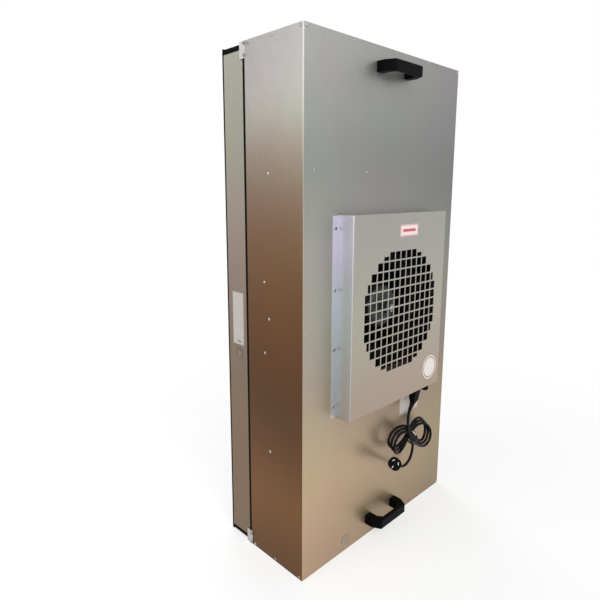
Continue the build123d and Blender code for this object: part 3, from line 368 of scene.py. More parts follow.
@dataclass(frozen=True)
class BareMetal:
    """Plated, drawn or machined metal with fine lines and a little uneven gloss."""

    name: str
    colour: Colour
    worn: Colour
    roughness: float = 0.3
    stretch: Point = (1.0, 1.0, 0.06)

    def material(self) -> Material:
        """Builds the finish.

        Returns:
            The material.
        """
        graph = Graph.of_material(self.name)
        patches = graph.noise(38.0, detail=4.0, rough=0.62)
        lines = graph.noise(420.0, self.stretch, 2.0)
        base = graph.mix(patches.span(0.35, 0.75), self.colour, self.worn)
        base = graph.shade(base, 0.94 + lines * 0.12)
        rough = self.roughness + (patches - 0.5) * 0.2 + (lines - 0.5) * 0.1
        return graph.finish(1.0, Base_Color=base, Roughness=rough, Normal=graph.bump(lines, 0.00008, 0.5))


@dataclass(frozen=True)
class Moulded:
    """Moulded plastic or rubber with a spark-eroded grain and dusty patches."""

    name: str
    colour: Colour
    dust: Colour
    roughness: float = 0.5
    grain: float = 1600.0
    depth: float = 0.00006
    gloss: float = 0.04

    def material(self) -> Material:
        """Builds the finish.

        Returns:
            The material.
        """
        graph = Graph.of_material(self.name)
        patches = graph.noise(26.0, detail=5.0, rough=0.6)
        grain = graph.noise(self.grain, detail=2.0)
        base = graph.mix(patches.span(0.4, 0.85) * 0.5, self.colour, self.dust)
        rough = self.roughness + (patches - 0.5) * 0.22
        return graph.finish(0.0, self.gloss, Base_Color=base, Roughness=rough,
                            Normal=graph.bump(grain, self.depth, 0.6))


@dataclass(frozen=True)
class Foam:
    """Closed-cell foam strip with fine pores."""

    name: str
    colour: Colour
    pore: Colour
    pores: float = 900.0

    def material(self) -> Material:
        """Builds the finish.

        Returns:
            The material.
        """
        graph = Graph.of_material(self.name)
        pores = graph.cells(self.pores)
        soft = graph.noise(45.0)
        base = graph.mix(pores.span(0.05, 0.5), self.pore, self.colour)
        return graph.finish(0.0, 0.05, Base_Color=graph.shade(base, 0.85 + soft * 0.3),
                            Roughness=0.82 + soft * 0.12, Normal=graph.bump(pores, 0.0003, 0.8))


@dataclass(frozen=True)
class Paper:
    """Glass-fibre filter paper, faintly fibrous and slightly grey in places."""

    name: str = "filter_paper"
    colour: Colour = (236, 236, 230)
    grey: Colour = (212, 211, 204)

    def material(self) -> Material:
        """Builds the finish.

        Returns:
            The material.
        """
        graph = Graph.of_material(self.name)
        fibres = graph.noise(700.0, (1.0, 0.3, 0.3), 4.0, 0.7)
        clouds = graph.noise(9.0, detail=4.0)
        base = graph.mix(clouds.span(0.3, 0.8), self.colour, self.grey)
        return graph.finish(0.0, Base_Color=graph.shade(base, 0.93 + fibres * 0.12),
                            Roughness=0.86 + fibres * 0.1, Normal=graph.bump(fibres, 0.0002, 0.6))


@dataclass(frozen=True)
class PowderCoat:
    """Sprayed powder coat with a fine orange peel."""

    name: str
    colour: Colour
    shadow: Colour
    roughness: float = 0.45

    def material(self) -> Material:
        """Builds the finish.

        Returns:
            The material.
        """
        graph = Graph.of_material(self.name)
        peel = graph.noise(850.0, detail=2.0)
        clouds = graph.noise(12.0, detail=3.0)
        base = graph.mix(clouds.span(0.3, 0.8), self.colour, self.shadow)
        return graph.finish(0.0, Base_Color=base, Roughness=self.roughness + (peel - 0.5) * 0.15,
                            Normal=graph.bump(peel, 0.00012, 0.6))


@dataclass(frozen=True)
class Copper:
    """Enamelled copper wire, wound side by side."""

    name: str = "winding_wire"
    wire: float = 0.0009

    def material(self) -> Material:
        """Builds the finish.

        Returns:
            The material.
        """
        graph = Graph.of_material(self.name)
        x, _, z = graph.axes()
        turns = ((x * x + z * z) ** 0.5).repeat(self.wire)
        # Painted shade and painted highlight: each turn is dark at its edges and light along its middle.
        base = graph.mix(turns * 2.0, (110, 52, 24), (190, 104, 58))
        return graph.finish(0.75, Base_Color=base, Roughness=0.28 + turns * 0.3,
                            Normal=graph.bump(turns, 0.0004, 0.8))


@dataclass(frozen=True)
class Printed:
    """Blank self-adhesive film with a coloured border, slightly yellowed and scuffed."""

    name: str
    ground: Colour
    ink: Colour
    roughness: float = 0.38
    ruled: float = 0.0
    ruled_axis: int = 2
    rule_width: float = 0.07
    dust: Colour = (200, 196, 186)

    def material(self, inked: bool = False) -> Material:
        """Builds the finish of the film, or of what is printed on it.

        Args:
            inked: Whether it is the printed borders' finish.

        Returns:
            The material.
        """
        graph = Graph.of_material(self.name + ("_ink" if inked else "_film"))
        scuffs = graph.noise(60.0, detail=4.0, rough=0.65)
        tone: Union[Value, Colour] = self.ink if inked else self.ground
        if self.ruled and not inked:
            rules = graph.axes()[self.ruled_axis].repeat(self.ruled).below(self.rule_width)
            tone = graph.mix(rules * 0.55, self.ground, self.ink)
        base = graph.shade(graph.mix(scuffs.span(0.45, 0.9) * 0.25, tone, self.dust), 0.96 + scuffs * 0.08)
        return graph.finish(0.0, Base_Color=base, Roughness=self.roughness + (scuffs - 0.5) * 0.25,
                            Normal=graph.bump(scuffs, 0.00008, 0.4))


# The sheets take the painted-light ramps; the casing front also takes painted shade across it.
CASING_STEEL = SheetSteel("casing_sheet", FACE_PAINTED_LIGHT_TONE, SIDE_PAINTED_LIGHT_TONE, PLAIN_PAINTED_LIGHT_TONE, -0.1054, 0.2868, 0.0, 1.175,
                          painted_shade_fall=0.36)
HOOD_STEEL = SheetSteel("hood_sheet", HOOD_FRONT_PAINTED_LIGHT_TONE, HOOD_SIDE_PAINTED_LIGHT_TONE, PLAIN_PAINTED_LIGHT_TONE, -0.1494, 0.1820,
                        0.3595, 0.8155, 0.38, 0.03)
INNER_STEEL = SheetSteel("inner_sheet", PLAIN_PAINTED_LIGHT_TONE, PLAIN_PAINTED_LIGHT_TONE, PLAIN_PAINTED_LIGHT_TONE, -1.0, 1.0, 0.0, 1.175, 0.36, 0.06)
ZINC = BareMetal("zinc_plate", (168, 168, 168), (128, 128, 126), 0.34)
RIVET_ALLOY = BareMetal("rivet_alloy", (182, 180, 175), (112, 108, 102), 0.36)
BRACKET_ZINC = BareMetal("bracket_zinc", (188, 187, 184), (172, 171, 168), 0.44)
FRAME_ALLOY = SheetSteel("filter_frame_alloy", FRAME_PAINTED_LIGHT_TONE, FRAME_PAINTED_LIGHT_TONE, FRAME_PAINTED_LIGHT_TONE, -1.0, 1.0, 0.0, 1.175,
                         0.4, 0.02)
ROTOR_CAST = PowderCoat("rotor_cast", (50, 52, 52), (38, 39, 40), 0.5)
SHAFT_STEEL = BareMetal("shaft_steel", (206, 208, 210), (170, 170, 170), 0.24)
HANDLE_PLASTIC = Moulded("handle_plastic", (6, 6, 7), (14, 13, 13), 0.4, 1300.0, 0.0001)
FIXTURE_PLASTIC = Moulded("fixture_plastic", (8, 8, 9), (18, 17, 17), 0.42)
# Painted shade: the inlet ring is near black so that the inside of the hood reads as shade.
INLET_PAINTED_SHADE_PLASTIC = Moulded("inlet_painted_shade_plastic", (12, 12, 12), (20, 19, 18), 0.6)
IMPELLER_PLASTIC = Moulded("impeller_plastic", (12, 12, 13), (24, 23, 22), 0.55)
CORD_JACKET = Moulded("cord_jacket", (7, 7, 8), (18, 17, 17), 0.38, 900.0, 0.00005, 0.12)
RUBBER = Moulded("mount_rubber", (16, 16, 16), (34, 33, 31), 0.7)
CASE_PLASTIC = Moulded("capacitor_case", (206, 206, 200), (180, 178, 170), 0.42)
BLACK_FOAM = Foam("black_foam", (15, 15, 15), (5, 5, 5))
# Painted shade: the near-black linings cover the sheet inside the hood and casing so that it reads as shade.
LINING_PAINTED_SHADE_FOAM = Foam("lining_painted_shade_foam", (18, 18, 19), (7, 7, 7), 500.0)
FILTER_PAPER = Paper()
GUARD_WHITE = PowderCoat("guard_white", (232, 233, 230), (218, 219, 215))
WINDING = Copper()
PIN_METAL = BareMetal("pin_metal", (222, 220, 212), (196, 192, 180), 0.16)
RED_FILM = Printed("bordered_film", (236, 216, 216), (188, 84, 90))
WHITE_FILM = Printed("white_film", (226, 220, 216), (138, 48, 48))
BLANK_FILM = Printed("blank_film", (196, 190, 180), (138, 134, 126), ruled=0.0078)
PAPER_FILM = Printed("paper_film", (172, 165, 160), (112, 108, 104), 0.6, ruled=0.0085, ruled_axis=1)
MARK_FILM = Printed("mark_film", (86, 128, 110), (70, 108, 92))
STAMP_FILM = Printed("stamp_film", (112, 98, 86), (54, 36, 32))
STICKER_FILM = Printed("sticker_film", (150, 134, 114), (112, 98, 84))


# --- mesh helpers ---


class Piece:
    """One visible piece made in a bmesh and handed to the frame."""

    def __init__(self, name: str, body: str = CASING) -> None:
        """Starts an empty mesh.

        Args:
            name: Name of the piece.
            body: The body that it moves with.
        """
        self.name = name
        self.body = body
        self.mesh = bmesh.new()

    def hand_over(self, finishes: Sequence[Material], replaced: Sequence[str] = (),
                  smooth_under: float = 40.0) -> Thing:
        """Makes the object, rides it on its body and dresses it.

        Args:
            finishes: Materials in the order of the faces' material numbers.
            replaced: CAD nodes that it stands for.
            smooth_under: Edges under this angle, in degrees, are shaded smooth.

        Returns:
            The finished object.
        """
        bmesh.ops.remove_doubles(self.mesh, verts=self.mesh.verts, dist=WELD)
        bmesh.ops.recalc_face_normals(self.mesh, faces=self.mesh.faces)
        for face in self.mesh.faces:
            face.smooth = True
        for edge in self.mesh.edges:
            edge.smooth = len(edge.link_faces) == 2 and edge.calc_face_angle() < math.radians(smooth_under)
        data = bpy.data.meshes.new(self.name)
        self.mesh.to_mesh(data)
        self.mesh.free()
        return adopt(self.name, data, self.body, finishes, replaced)


def linked(name: str, data: bpy.types.ID) -> Thing:
    """Makes an object and links it to the scene.

    Args:
        name: Name of the object.
        data: Its mesh, curve, camera or light.

    Returns:
        The object.
    """
    made = bpy.data.objects.new(name, data)
    bpy.context.scene.collection.objects.link(made)
    return made


def adopt(name: str, data: bpy.types.ID, body: str, finishes: Sequence[Material],
          replaced: Sequence[str] = ()) -> Thing:
    """Makes a piece, dresses it, rides it on its body and hides the CAD nodes that it stands for.

    Args:
        name: Name of the piece.
        data: Its mesh or curve.
        body: The body that it moves with.
        finishes: Its materials.
        replaced: CAD nodes that it stands for.

    Returns:
        The piece.
    """
    piece = linked(name, data)
    for finish in finishes:
        piece.data.materials.append(finish)
    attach(piece, body)
    if replaced:
        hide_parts(*replaced)
    log.info("%s rides on %s", piece.name, body)
    return piece


def facing(direction: Point, place: Point, spin: float = 0.0) -> Matrix:
    """Matrix that turns local +Z to a direction and moves the origin to a place."""
    turn = Vector(direction).to_track_quat("Z", "Y").to_matrix().to_4x4()
    return Matrix.Translation(Vector(place)) @ turn @ Matrix.Rotation(spin, 4, "Z")


def ring_edges(loop: Loop) -> list[bmesh.types.BMEdge]:
    """Edges that join the vertices of one loop to each other."""
    members = set(loop)
    return [edge for edge in dict.fromkeys(edge for vertex in loop for edge in vertex.link_edges)
            if set(edge.verts) <= members]


def skin(mesh: Mesh, loops: Sequence[Loop]) -> None:
    """Bridges each loop to the next."""
    for near, far in zip(loops, loops[1:]):
        bmesh.ops.bridge_loops(mesh, edges=ring_edges(near) + ring_edges(far))


def cap(mesh: Mesh, loop: Loop) -> None:
    """Closes a loop with one flat face."""
    bmesh.ops.contextual_create(mesh, geom=ring_edges(loop))


def drawn_out(mesh: Mesh, edges: list[bmesh.types.BMEdge]) -> Loop:
    """Extrudes edges and returns the new vertices, still in place."""
    made = bmesh.ops.extrude_edge_only(mesh, edges=edges)
    return [item for item in made["geom"] if isinstance(item, bmesh.types.BMVert)]


def circle(mesh: Mesh, segments: int, radius: float, matrix: Matrix) -> Loop:
    """Adds an open circle."""
    return bmesh.ops.create_circle(mesh, segments=segments, radius=radius, matrix=matrix)["verts"]


def solid_boxes(node: str) -> list[tuple[Vector, Vector]]:
    """Boxes of the separate solids of a CAD node.

    Args:
        node: Name of the node.

    Returns:
        The lowest and highest corner of each solid.
    """
    mesh = bmesh.new()
    mesh.from_mesh(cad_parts[node].data)
    bmesh.ops.remove_doubles(mesh, verts=mesh.verts, dist=WELD)
    boxes, seen = [], set()
    for start in mesh.verts:
        if start in seen:
            continue
        found = [start]
        seen.add(start)
        for known in found:
            joined = {vertex for edge in known.link_edges for vertex in edge.verts} - seen
            seen |= joined
            found.extend(joined)
        places = [vertex.co for vertex in found]
        boxes.append((Vector([min(place[axis] for place in places) for axis in range(3)]),
                      Vector([max(place[axis] for place in places) for axis in range(3)])))
    mesh.free()
    return boxes


# --- supply cord ---


@dataclass
class SupplyCord:
    """The mains lead: one line from the connector through a figure-of-eight hank to the plug."""

    diameter: float = 0.007
    length: float = 1.62
    turns: int = 3
    points_per_turn: int = 20
    first_point: int = 2
    centre: Point = (81.0, -137.0, 236.0)
    half_length: float = 83.0
    roundness: float = 0.08
    lobe_rise: float = 30.5
    lobe_swell: float = 0.04
    droop: float = 5.0
    strand_gap: float = 8.8
    tip_squeeze: float = 0.5
    fan_out: float = 9.0
    layer: float = 6.6
    reach_tilt: float = -5.0
    rise_tilt: float = 92.0
    feed: tuple[Point, ...] = ((97.5, -127.0, 311.0), (82.5, -130.0, 302.0), (66.5, -137.0, 289.0),
                               (53.5, -146.0, 273.0), (47.0, -153.5, 257.0), (49.5, -157.5, 242.0),
                               (61.0, -157.5, 228.0), (79.5, -152.5, 218.0))
    tail: tuple[Point, ...] = ((93.5, -137.0, 230.0), (99.0, -135.0, 212.0), (104.0, -131.0, 190.0),
                               (104.0, -128.0, 166.0), (95.5, -125.0, 149.0), (79.0, -123.0, 141.5),
                               (58.5, -123.0, 149.0), (32.5, -124.0, 167.0), (13.5, -137.0, 180.0))
    sleeve_wall: float = 0.0007
    sleeve_ribs: int = 4
    sleeve_sides: int = 20

    def hank_points(self) -> list[Point]:
        """Control points of the loose turns.

        Returns:
            The points in millimetres, from the feed to the tail.
        """
        points = []
        reach_way, rise_way = (Matrix.Rotation(math.radians(tilt), 2) @ Vector((1.0, 0.0))
                               for tilt in (self.reach_tilt, self.rise_tilt))
        for step in range(self.first_point, self.turns * self.points_per_turn):
            turn = step / self.points_per_turn
            angle = math.pi * 1.5 + math.tau * turn
            along, across = math.cos(angle), math.sin(angle)
            rank = turn - self.turns / 2
            reach = self.half_length * (along + self.roundness * math.cos(3 * angle)) / (1 + self.roundness)
            gap = self.strand_gap * rank * (1 - self.tip_squeeze * along * along)
            rise = (self.lobe_rise * (1 + self.lobe_swell * along) * math.sin(2 * angle)
                    - self.droop * along * along + gap)
            flat = reach_way * reach + rise_way * rise
            points.append((self.centre[0] + flat.x,
                           self.centre[1] + self.layer * across + self.fan_out * rank * along * along,
                           self.centre[2] + flat.y))
        return points

    def line(self) -> bpy.types.Curve:
        """Lays the cord's line.

        Returns:
            A curve with one spline and no thickness yet.
        """
        curve = bpy.data.curves.new("supply_cord", "CURVE")
        curve.dimensions = "3D"
        curve.resolution_u = 5
        spline = curve.splines.new("NURBS")
        places = [*self.feed, *self.hank_points(), *self.tail]
        spline.points.add(len(places) - 1)
        for point, place in zip(spline.points, places):
            point.co = (*(Vector(place) * MM), 1.0)
        spline.order_u = 3
        spline.use_endpoint_u = True
        return curve

    @staticmethod
    def trace(curve: bpy.types.Curve) -> list[Vector]:
        """Follows a curve that has no bevel.

        Args:
            curve: The curve.

        Returns:
            Points along it, in metres.
        """
        holder = bpy.data.objects.new("trace", curve)
        sampled = bpy.data.meshes.new_from_object(holder)
        places = [vertex.co.copy() for vertex in sampled.vertices]
        bpy.data.objects.remove(holder)
        bpy.data.meshes.remove(sampled)
        return places

    def relief(self, name: str, places: list[Vector], grip_radius: float, length: float) -> Thing:
        """Tapered, ribbed sleeve along the first part of a line.

        Args:
            name: Name of the piece.
            places: Points along the cord, from the grip outwards.
            grip_radius: Radius at the grip, in metres.
            length: Length of the sleeve, in metres.

        Returns:
            The sleeve.
        """
        piece = Piece(name)
        end_radius = self.diameter / 2 + self.sleeve_wall
        last = self.sleeve_ribs * 4
        loops = []
        for step in range(last + 1):
            share = step / last
            place, heading = point_along(places, share * length)
            radius = grip_radius + (end_radius - grip_radius) * share ** 0.8
            radius -= self.sleeve_wall if step % 4 >= 2 and step < last else 0.0
            loops.append(circle(piece.mesh, self.sleeve_sides, radius, facing(heading, place)))
        skin(piece.mesh, loops)
        return piece.hand_over([CORD_JACKET.material()], smooth_under=50.0)

    def build(self) -> None:
        curve = self.line()
        places = self.trace(curve)
        sleeves = [self.relief("connector_sleeve", places, 0.0062, 0.024),
                   self.relief("plug_sleeve", places[::-1], 0.0058, 0.022)]
        curve.bevel_depth = self.diameter / 2
        curve.bevel_resolution = 3
        curve.use_fill_caps = True
        cord = adopt("supply_cord", curve, CASING, [CORD_JACKET.material()],
                     ["cord_feed", "cord_hank", "cord_tail"])
        band = HankTie().build()


def point_along(places: list[Vector], distance: float) -> tuple[Vector, Vector]:
    """Finds a place along a row of points.

    Args:
        places: The points.
        distance: How far along them, in metres.

    Returns:
        The place and the heading there.
    """
    walked = 0.0
    for here, there in zip(places, places[1:]):
        step = (there - here).length
        if walked + step >= distance:
            return here.lerp(there, (distance - walked) / step), (there - here).normalized()
        walked += step
    return places[-1].copy(), (places[-1] - places[-2]).normalized()


# --- labels ---


class Outline(Enum):
    """Outline of a label."""

    SHEET = "sheet"
    DISC = "disc"


@dataclass
class Label:
    """A blank self-adhesive label: film with borders in millimetres, inked or not, from the outside in."""

    name: str
    outline: Outline
    film: Printed
    size: tuple[float, float]
    place: Point
    direction: Point
    borders: tuple[tuple[float, bool], ...]
    inked_middle: bool = False
    thickness: float = 0.00025
    segments: int = 48

    def build(self) -> None:
        """Makes the label and sticks it on its sheet."""
        piece = Piece(self.name)
        mesh = piece.mesh
        if self.outline is Outline.DISC:
            bmesh.ops.create_circle(mesh, cap_ends=True, segments=self.segments, radius=0.5)
        else:
            bmesh.ops.create_grid(mesh, x_segments=1, y_segments=1, size=0.5)
        bmesh.ops.scale(mesh, verts=mesh.verts[:], vec=(self.size[0], self.size[1], 1.0))
        middle = list(mesh.faces)
        for width, inked in self.borders:
            made = bmesh.ops.inset_region(mesh, faces=middle, thickness=width * MM, use_boundary=True,
                                          use_even_offset=True)
            for face in made["faces"]:
                face.material_index = int(inked)
        for face in middle:
            face.material_index = int(self.inked_middle)
        foot = drawn_out(mesh, [edge for edge in mesh.edges if len(edge.link_faces) == 1])
        bmesh.ops.translate(mesh, verts=foot, vec=(0.0, 0.0, -self.thickness))
        cap(mesh, foot)
        outward = Vector(self.direction)
        middle_place = Vector(self.place) * MM + outward * self.thickness
        bmesh.ops.transform(mesh, matrix=facing(outward, middle_place), verts=mesh.verts[:])
        piece.hand_over([self.film.material(), self.film.material(inked=True)])


LABELS = (
    Label("hood_label", Outline.SHEET, RED_FILM, (0.072, 0.027), (19.5, -150.0, 775.0), (0, -1, 0),
          ((0.8, False), (1.2, True), (8.2, False)), inked_middle=True),
    Label("hood_disc", Outline.DISC, WHITE_FILM, (0.063, 0.063), (136.0, -150.0, 412.0), (0, -1, 0),
          ((3.5, False), (2.4, True))),
    Label("socket_label", Outline.SHEET, BLANK_FILM, (0.085, 0.053), (115.0, -106.0, 308.5), (0, -1, 0),
          ((1.5, False), (0.6, True))),
    Label("frame_label", Outline.SHEET, PAPER_FILM, (0.040, 0.126), (-286.5, 110.0, 569.0), (-1, 0, 0),
          ((2.0, False), (0.5, True))),
    Label("label_mark", Outline.SHEET, MARK_FILM, (0.014, 0.004), (-286.75, 107.0, 514.0), (-1, 0, 0),
          ((0.4, True),), thickness=0.00008),
    Label("frame_stamp", Outline.DISC, STAMP_FILM, (0.026, 0.026), (-286.5, 107.0, 485.0), (-1, 0, 0),
          ((0.4, False), (2.0, True), (2.4, False), (1.4, True))),
    Label("foot_sticker", Outline.DISC, STICKER_FILM, (0.028, 0.024), (-139.5, -106.0, 29.0), (0, -1, 0),
          ((1.6, True),)),
)


# --- fasteners, tie, knob and outlet mesh ---


@dataclass
class CrossHeads:
    """Pan-head screws with a cross recess, in place of one node's plain ones."""

    node: str
    across: bool = False
    segments: int = 24
    head_share: float = 0.34
    spin_per_metre: float = 40.0
    profile: tuple[tuple[float, float], ...] = ((0.72, 0.0), (0.92, -0.2), (1.0, -0.5), (1.0, -1.0))
    shank_share: float = 0.5
    arm_share: float = 0.58
    arm_half_width: float = 0.13
    recess_depth: float = 0.7
    recess_taper: float = 0.72

    def one(self, mesh: Mesh, low: Vector, high: Vector) -> None:
        """Adds one screw in the box of the plain one.

        Args:
            mesh: Mesh that takes the screw.
            low: Lowest corner of the plain screw.
            high: Highest corner of the plain screw.
        """
        middle, size = (low + high) / 2, high - low
        outward = Vector((math.copysign(1.0, middle.x), 0, 0) if self.across else (0, -1, 0))
        length, radius = abs(size.dot(outward)), size.z / 2
        height = size.z * self.head_share
        matrix = facing(outward, middle + outward * length / 2, middle.x * self.spin_per_metre)
        steps = [(share, height * depth) for share, depth in self.profile]
        steps += [(self.shank_share, -height), (self.shank_share, -length)]
        loops = [circle(mesh, self.segments, radius * share, matrix @ Matrix.Translation((0, 0, depth)))
                 for share, depth in steps]
        skin(mesh, loops)
        cap(mesh, loops[-1])
        recess = self.cross(mesh, matrix, radius)
        bmesh.ops.bridge_loops(mesh, edges=ring_edges(recess) + ring_edges(loops[0]))
        floor = drawn_out(mesh, ring_edges(recess))
        bmesh.ops.scale(mesh, verts=floor, vec=(self.recess_taper, self.recess_taper, 1.0),
                        space=matrix.inverted())
        bmesh.ops.translate(mesh, verts=floor, vec=outward * -height * self.recess_depth)
        cap(mesh, floor)

    def cross(self, mesh: Mesh, matrix: Matrix, radius: float) -> Loop:
        """Draws the outline of the cross recess.

        Args:
            mesh: Mesh that takes the outline.
            matrix: Where the screw's top is and which way it faces.
            radius: Radius of the head, in metres.

        Returns:
            The twelve corners in order.
        """
        arm, half = radius * self.arm_share, radius * self.arm_half_width
        corners = []
        for quarter in range(4):
            turn = Matrix.Rotation(math.pi / 2 * quarter, 4, "Z")
            corners += [mesh.verts.new(matrix @ turn @ Vector(corner))
                        for corner in ((arm, -half, 0), (arm, half, 0), (half, half, 0))]
        for pair in zip(corners, corners[1:] + corners[:1]):
            mesh.edges.new(pair)
        return corners

    def build(self) -> None:
        """Makes every screw of the node as one piece."""
        piece = Piece(self.node.replace("screws", "cross_heads"))
        for low, high in solid_boxes(self.node):
            self.one(piece.mesh, low, high)
        piece.hand_over([ZINC.material()], [self.node], 30.0)


@dataclass
class HankTie:
    """Flat tie pulled round the waist of the hank, with its ends twisted together."""

    place: Point = (0.0795, -0.1420, 0.2325)
    half_depth: float = 0.0155
    half_height: float = 0.0180
    width: float = 0.0045
    thickness: float = 0.0011
    segments: int = 40
    knot: Point = (0.0780, -0.1565, 0.2440)
    tip: Point = (0.0500, -0.1615, 0.2660)
    wire: float = 0.0009
    wire_sides: int = 8
    twists: float = 1.5
    twist_steps: int = 18

    def band(self, mesh: Mesh) -> None:
        """Spins the flat band round the waist.

        Args:
            mesh: Mesh that takes the band.
        """
        half, share = self.width / 2, self.thickness / self.half_depth
        corners = [mesh.verts.new(corner) for corner in ((-half, 0, 1), (-half, 0, 1 + share),
                                                         (half, 0, 1 + share), (half, 0, 1))]
        sides = [mesh.edges.new(pair) for pair in zip(corners, corners[1:] + corners[:1])]
        bmesh.ops.spin(mesh, geom=corners + sides, cent=(0, 0, 0), axis=(1, 0, 0), angle=math.tau,
                       steps=self.segments, use_merge=True)
        bmesh.ops.transform(mesh, verts=mesh.verts[:], matrix=Matrix.Translation(self.place)
                            @ Matrix.Diagonal((1.0, self.half_depth, self.half_height, 1.0)))

    def end(self, mesh: Mesh, start: float) -> None:
        """Adds one of the twisted wire ends.

        Args:
            mesh: Mesh that takes the wire.
            start: Angle at which it leaves the knot.
        """
        reach = Vector(self.tip) - Vector(self.knot)
        loops = []
        for step in range(self.twist_steps + 1):
            share = step / self.twist_steps
            angle = math.tau * share * self.twists + start
            place = Vector(self.knot) + reach * share
            place += Vector((math.cos(angle), 0.0, math.sin(angle))) * self.wire
            loops.append(circle(mesh, self.wire_sides, self.wire, facing(reach, place)))
        skin(mesh, loops)
        cap(mesh, loops[0])
        cap(mesh, loops[-1])

    def build(self) -> Thing:
        """Makes the band and its twisted ends.

        Returns:
            The tie.
        """
        piece = Piece("hank_band")
        self.band(piece.mesh)
        band = set(piece.mesh.faces)
        for start in (0.0, math.pi):
            self.end(piece.mesh, start)
        for face in piece.mesh.faces:
            face.material_index = int(face not in band)
        return piece.hand_over([CORD_JACKET.material(), PIN_METAL.material()], ["hank_tie"], 50.0)


@dataclass
class SpeedKnob:
    """Fluted knob under the hood, with a skirt, a dished end and a pointer."""

    centre: tuple[float, float] = (0.148, -0.13152)
    end_z: float = 0.3418
    skirt_z: float = 0.3588
    shaft_z: float = 0.3705
    shaft_radius: float = 0.0030
    radius: float = 0.0114
    flutes: int = 24
    flute_depth: float = 0.0006
    pointer_size: Point = (0.0012, 0.0060, 0.0012)
    pointer_out: float = 0.0042
    pointer_sunk: float = 0.0009
    pointer_bevel: float = 0.2

    def ring(self, mesh: Mesh, radius: float, height: float, flute: float = 0.0) -> Loop:
        """Adds one loop round the knob.

        Args:
            mesh: Mesh that takes the loop.
            radius: Radius in metres.
            height: Its z, in metres.
            flute: How far every second vertex is drawn in.

        Returns:
            The loop.
        """
        matrix = Matrix.Translation((*self.centre, height))
        loop = circle(mesh, self.flutes * 2, radius, matrix)
        if flute:
            share = (radius - flute) / radius
            bmesh.ops.scale(mesh, verts=loop[::2], vec=(share, share, 1.0), space=matrix.inverted())
        return loop

    def build(self) -> None:
        """Makes the knob and its pointer."""
        piece = Piece("fluted_knob", KNOB)
        radius, skirt, end = self.radius, self.skirt_z, self.end_z
        steps = ((self.shaft_radius, self.shaft_z), (self.shaft_radius, skirt), (radius, skirt),
                 (radius, skirt - 0.0022), (radius * 0.9, skirt - 0.0030),
                 (radius * 0.9, skirt - 0.0040, self.flute_depth),
                 (radius * 0.84, end + 0.0014, self.flute_depth), (radius * 0.76, end), (radius * 0.66, end),
                 (radius * 0.6, end + 0.0008))
        loops = [self.ring(piece.mesh, *step) for step in steps]
        skin(piece.mesh, loops)
        cap(piece.mesh, loops[0])
        cap(piece.mesh, loops[-1])
        piece.hand_over([FIXTURE_PLASTIC.material()], ["speed_knob"], 35.0)
        pointer = Piece("knob_pointer", KNOB)
        mesh = pointer.mesh
        bmesh.ops.create_cube(mesh, size=1.0)
        bmesh.ops.bevel(mesh, geom=mesh.edges[:], offset=self.pointer_bevel, offset_type="OFFSET", segments=1,
                        profile=0.5, affect="EDGES", material=-1, clamp_overlap=True)
        bmesh.ops.scale(mesh, verts=mesh.verts[:], vec=self.pointer_size)
        bmesh.ops.translate(mesh, verts=mesh.verts[:],
                            vec=(self.centre[0], self.centre[1] - self.pointer_out, end + self.pointer_sunk))
        pointer.hand_over([GUARD_WHITE.material()])


@dataclass
class OutletMesh:
    """Fine welded wire behind the guard's bars, over the filter paper."""

    half_width: float = 0.2715
    low_z: float = 0.031
    high_z: float = 1.144
    depth_y: float = 0.1411
    pitch: float = 0.0127
    wire: float = 0.00045
    sides: int = 6

    def rod(self, mesh: Mesh, middle: Vector, along: Vector, length: float) -> None:
        """Adds one wire."""
        bmesh.ops.create_cone(mesh, cap_ends=True, segments=self.sides, radius1=self.wire, radius2=self.wire,
                              depth=length, matrix=facing(along, middle))

    def build(self) -> None:
        """Makes the upright and the level wires as one piece."""
        piece = Piece("outlet_mesh")
        tall, wide = self.high_z - self.low_z, 2 * self.half_width
        centre_z = (self.high_z + self.low_z) / 2
        for number in range(1, int(wide / self.pitch)):
            place = Vector((-self.half_width + number * self.pitch, self.depth_y, centre_z))
            self.rod(piece.mesh, place, Vector((0, 0, 1)), tall)
        for number in range(1, int(tall / self.pitch)):
            place = Vector((0.0, self.depth_y - self.wire, self.low_z + number * self.pitch))
            self.rod(piece.mesh, place, Vector((1, 0, 0)), wide)
        piece.hand_over([GUARD_WHITE.material()], smooth_under=70.0)


# --- CAD nodes that keep their shape ---


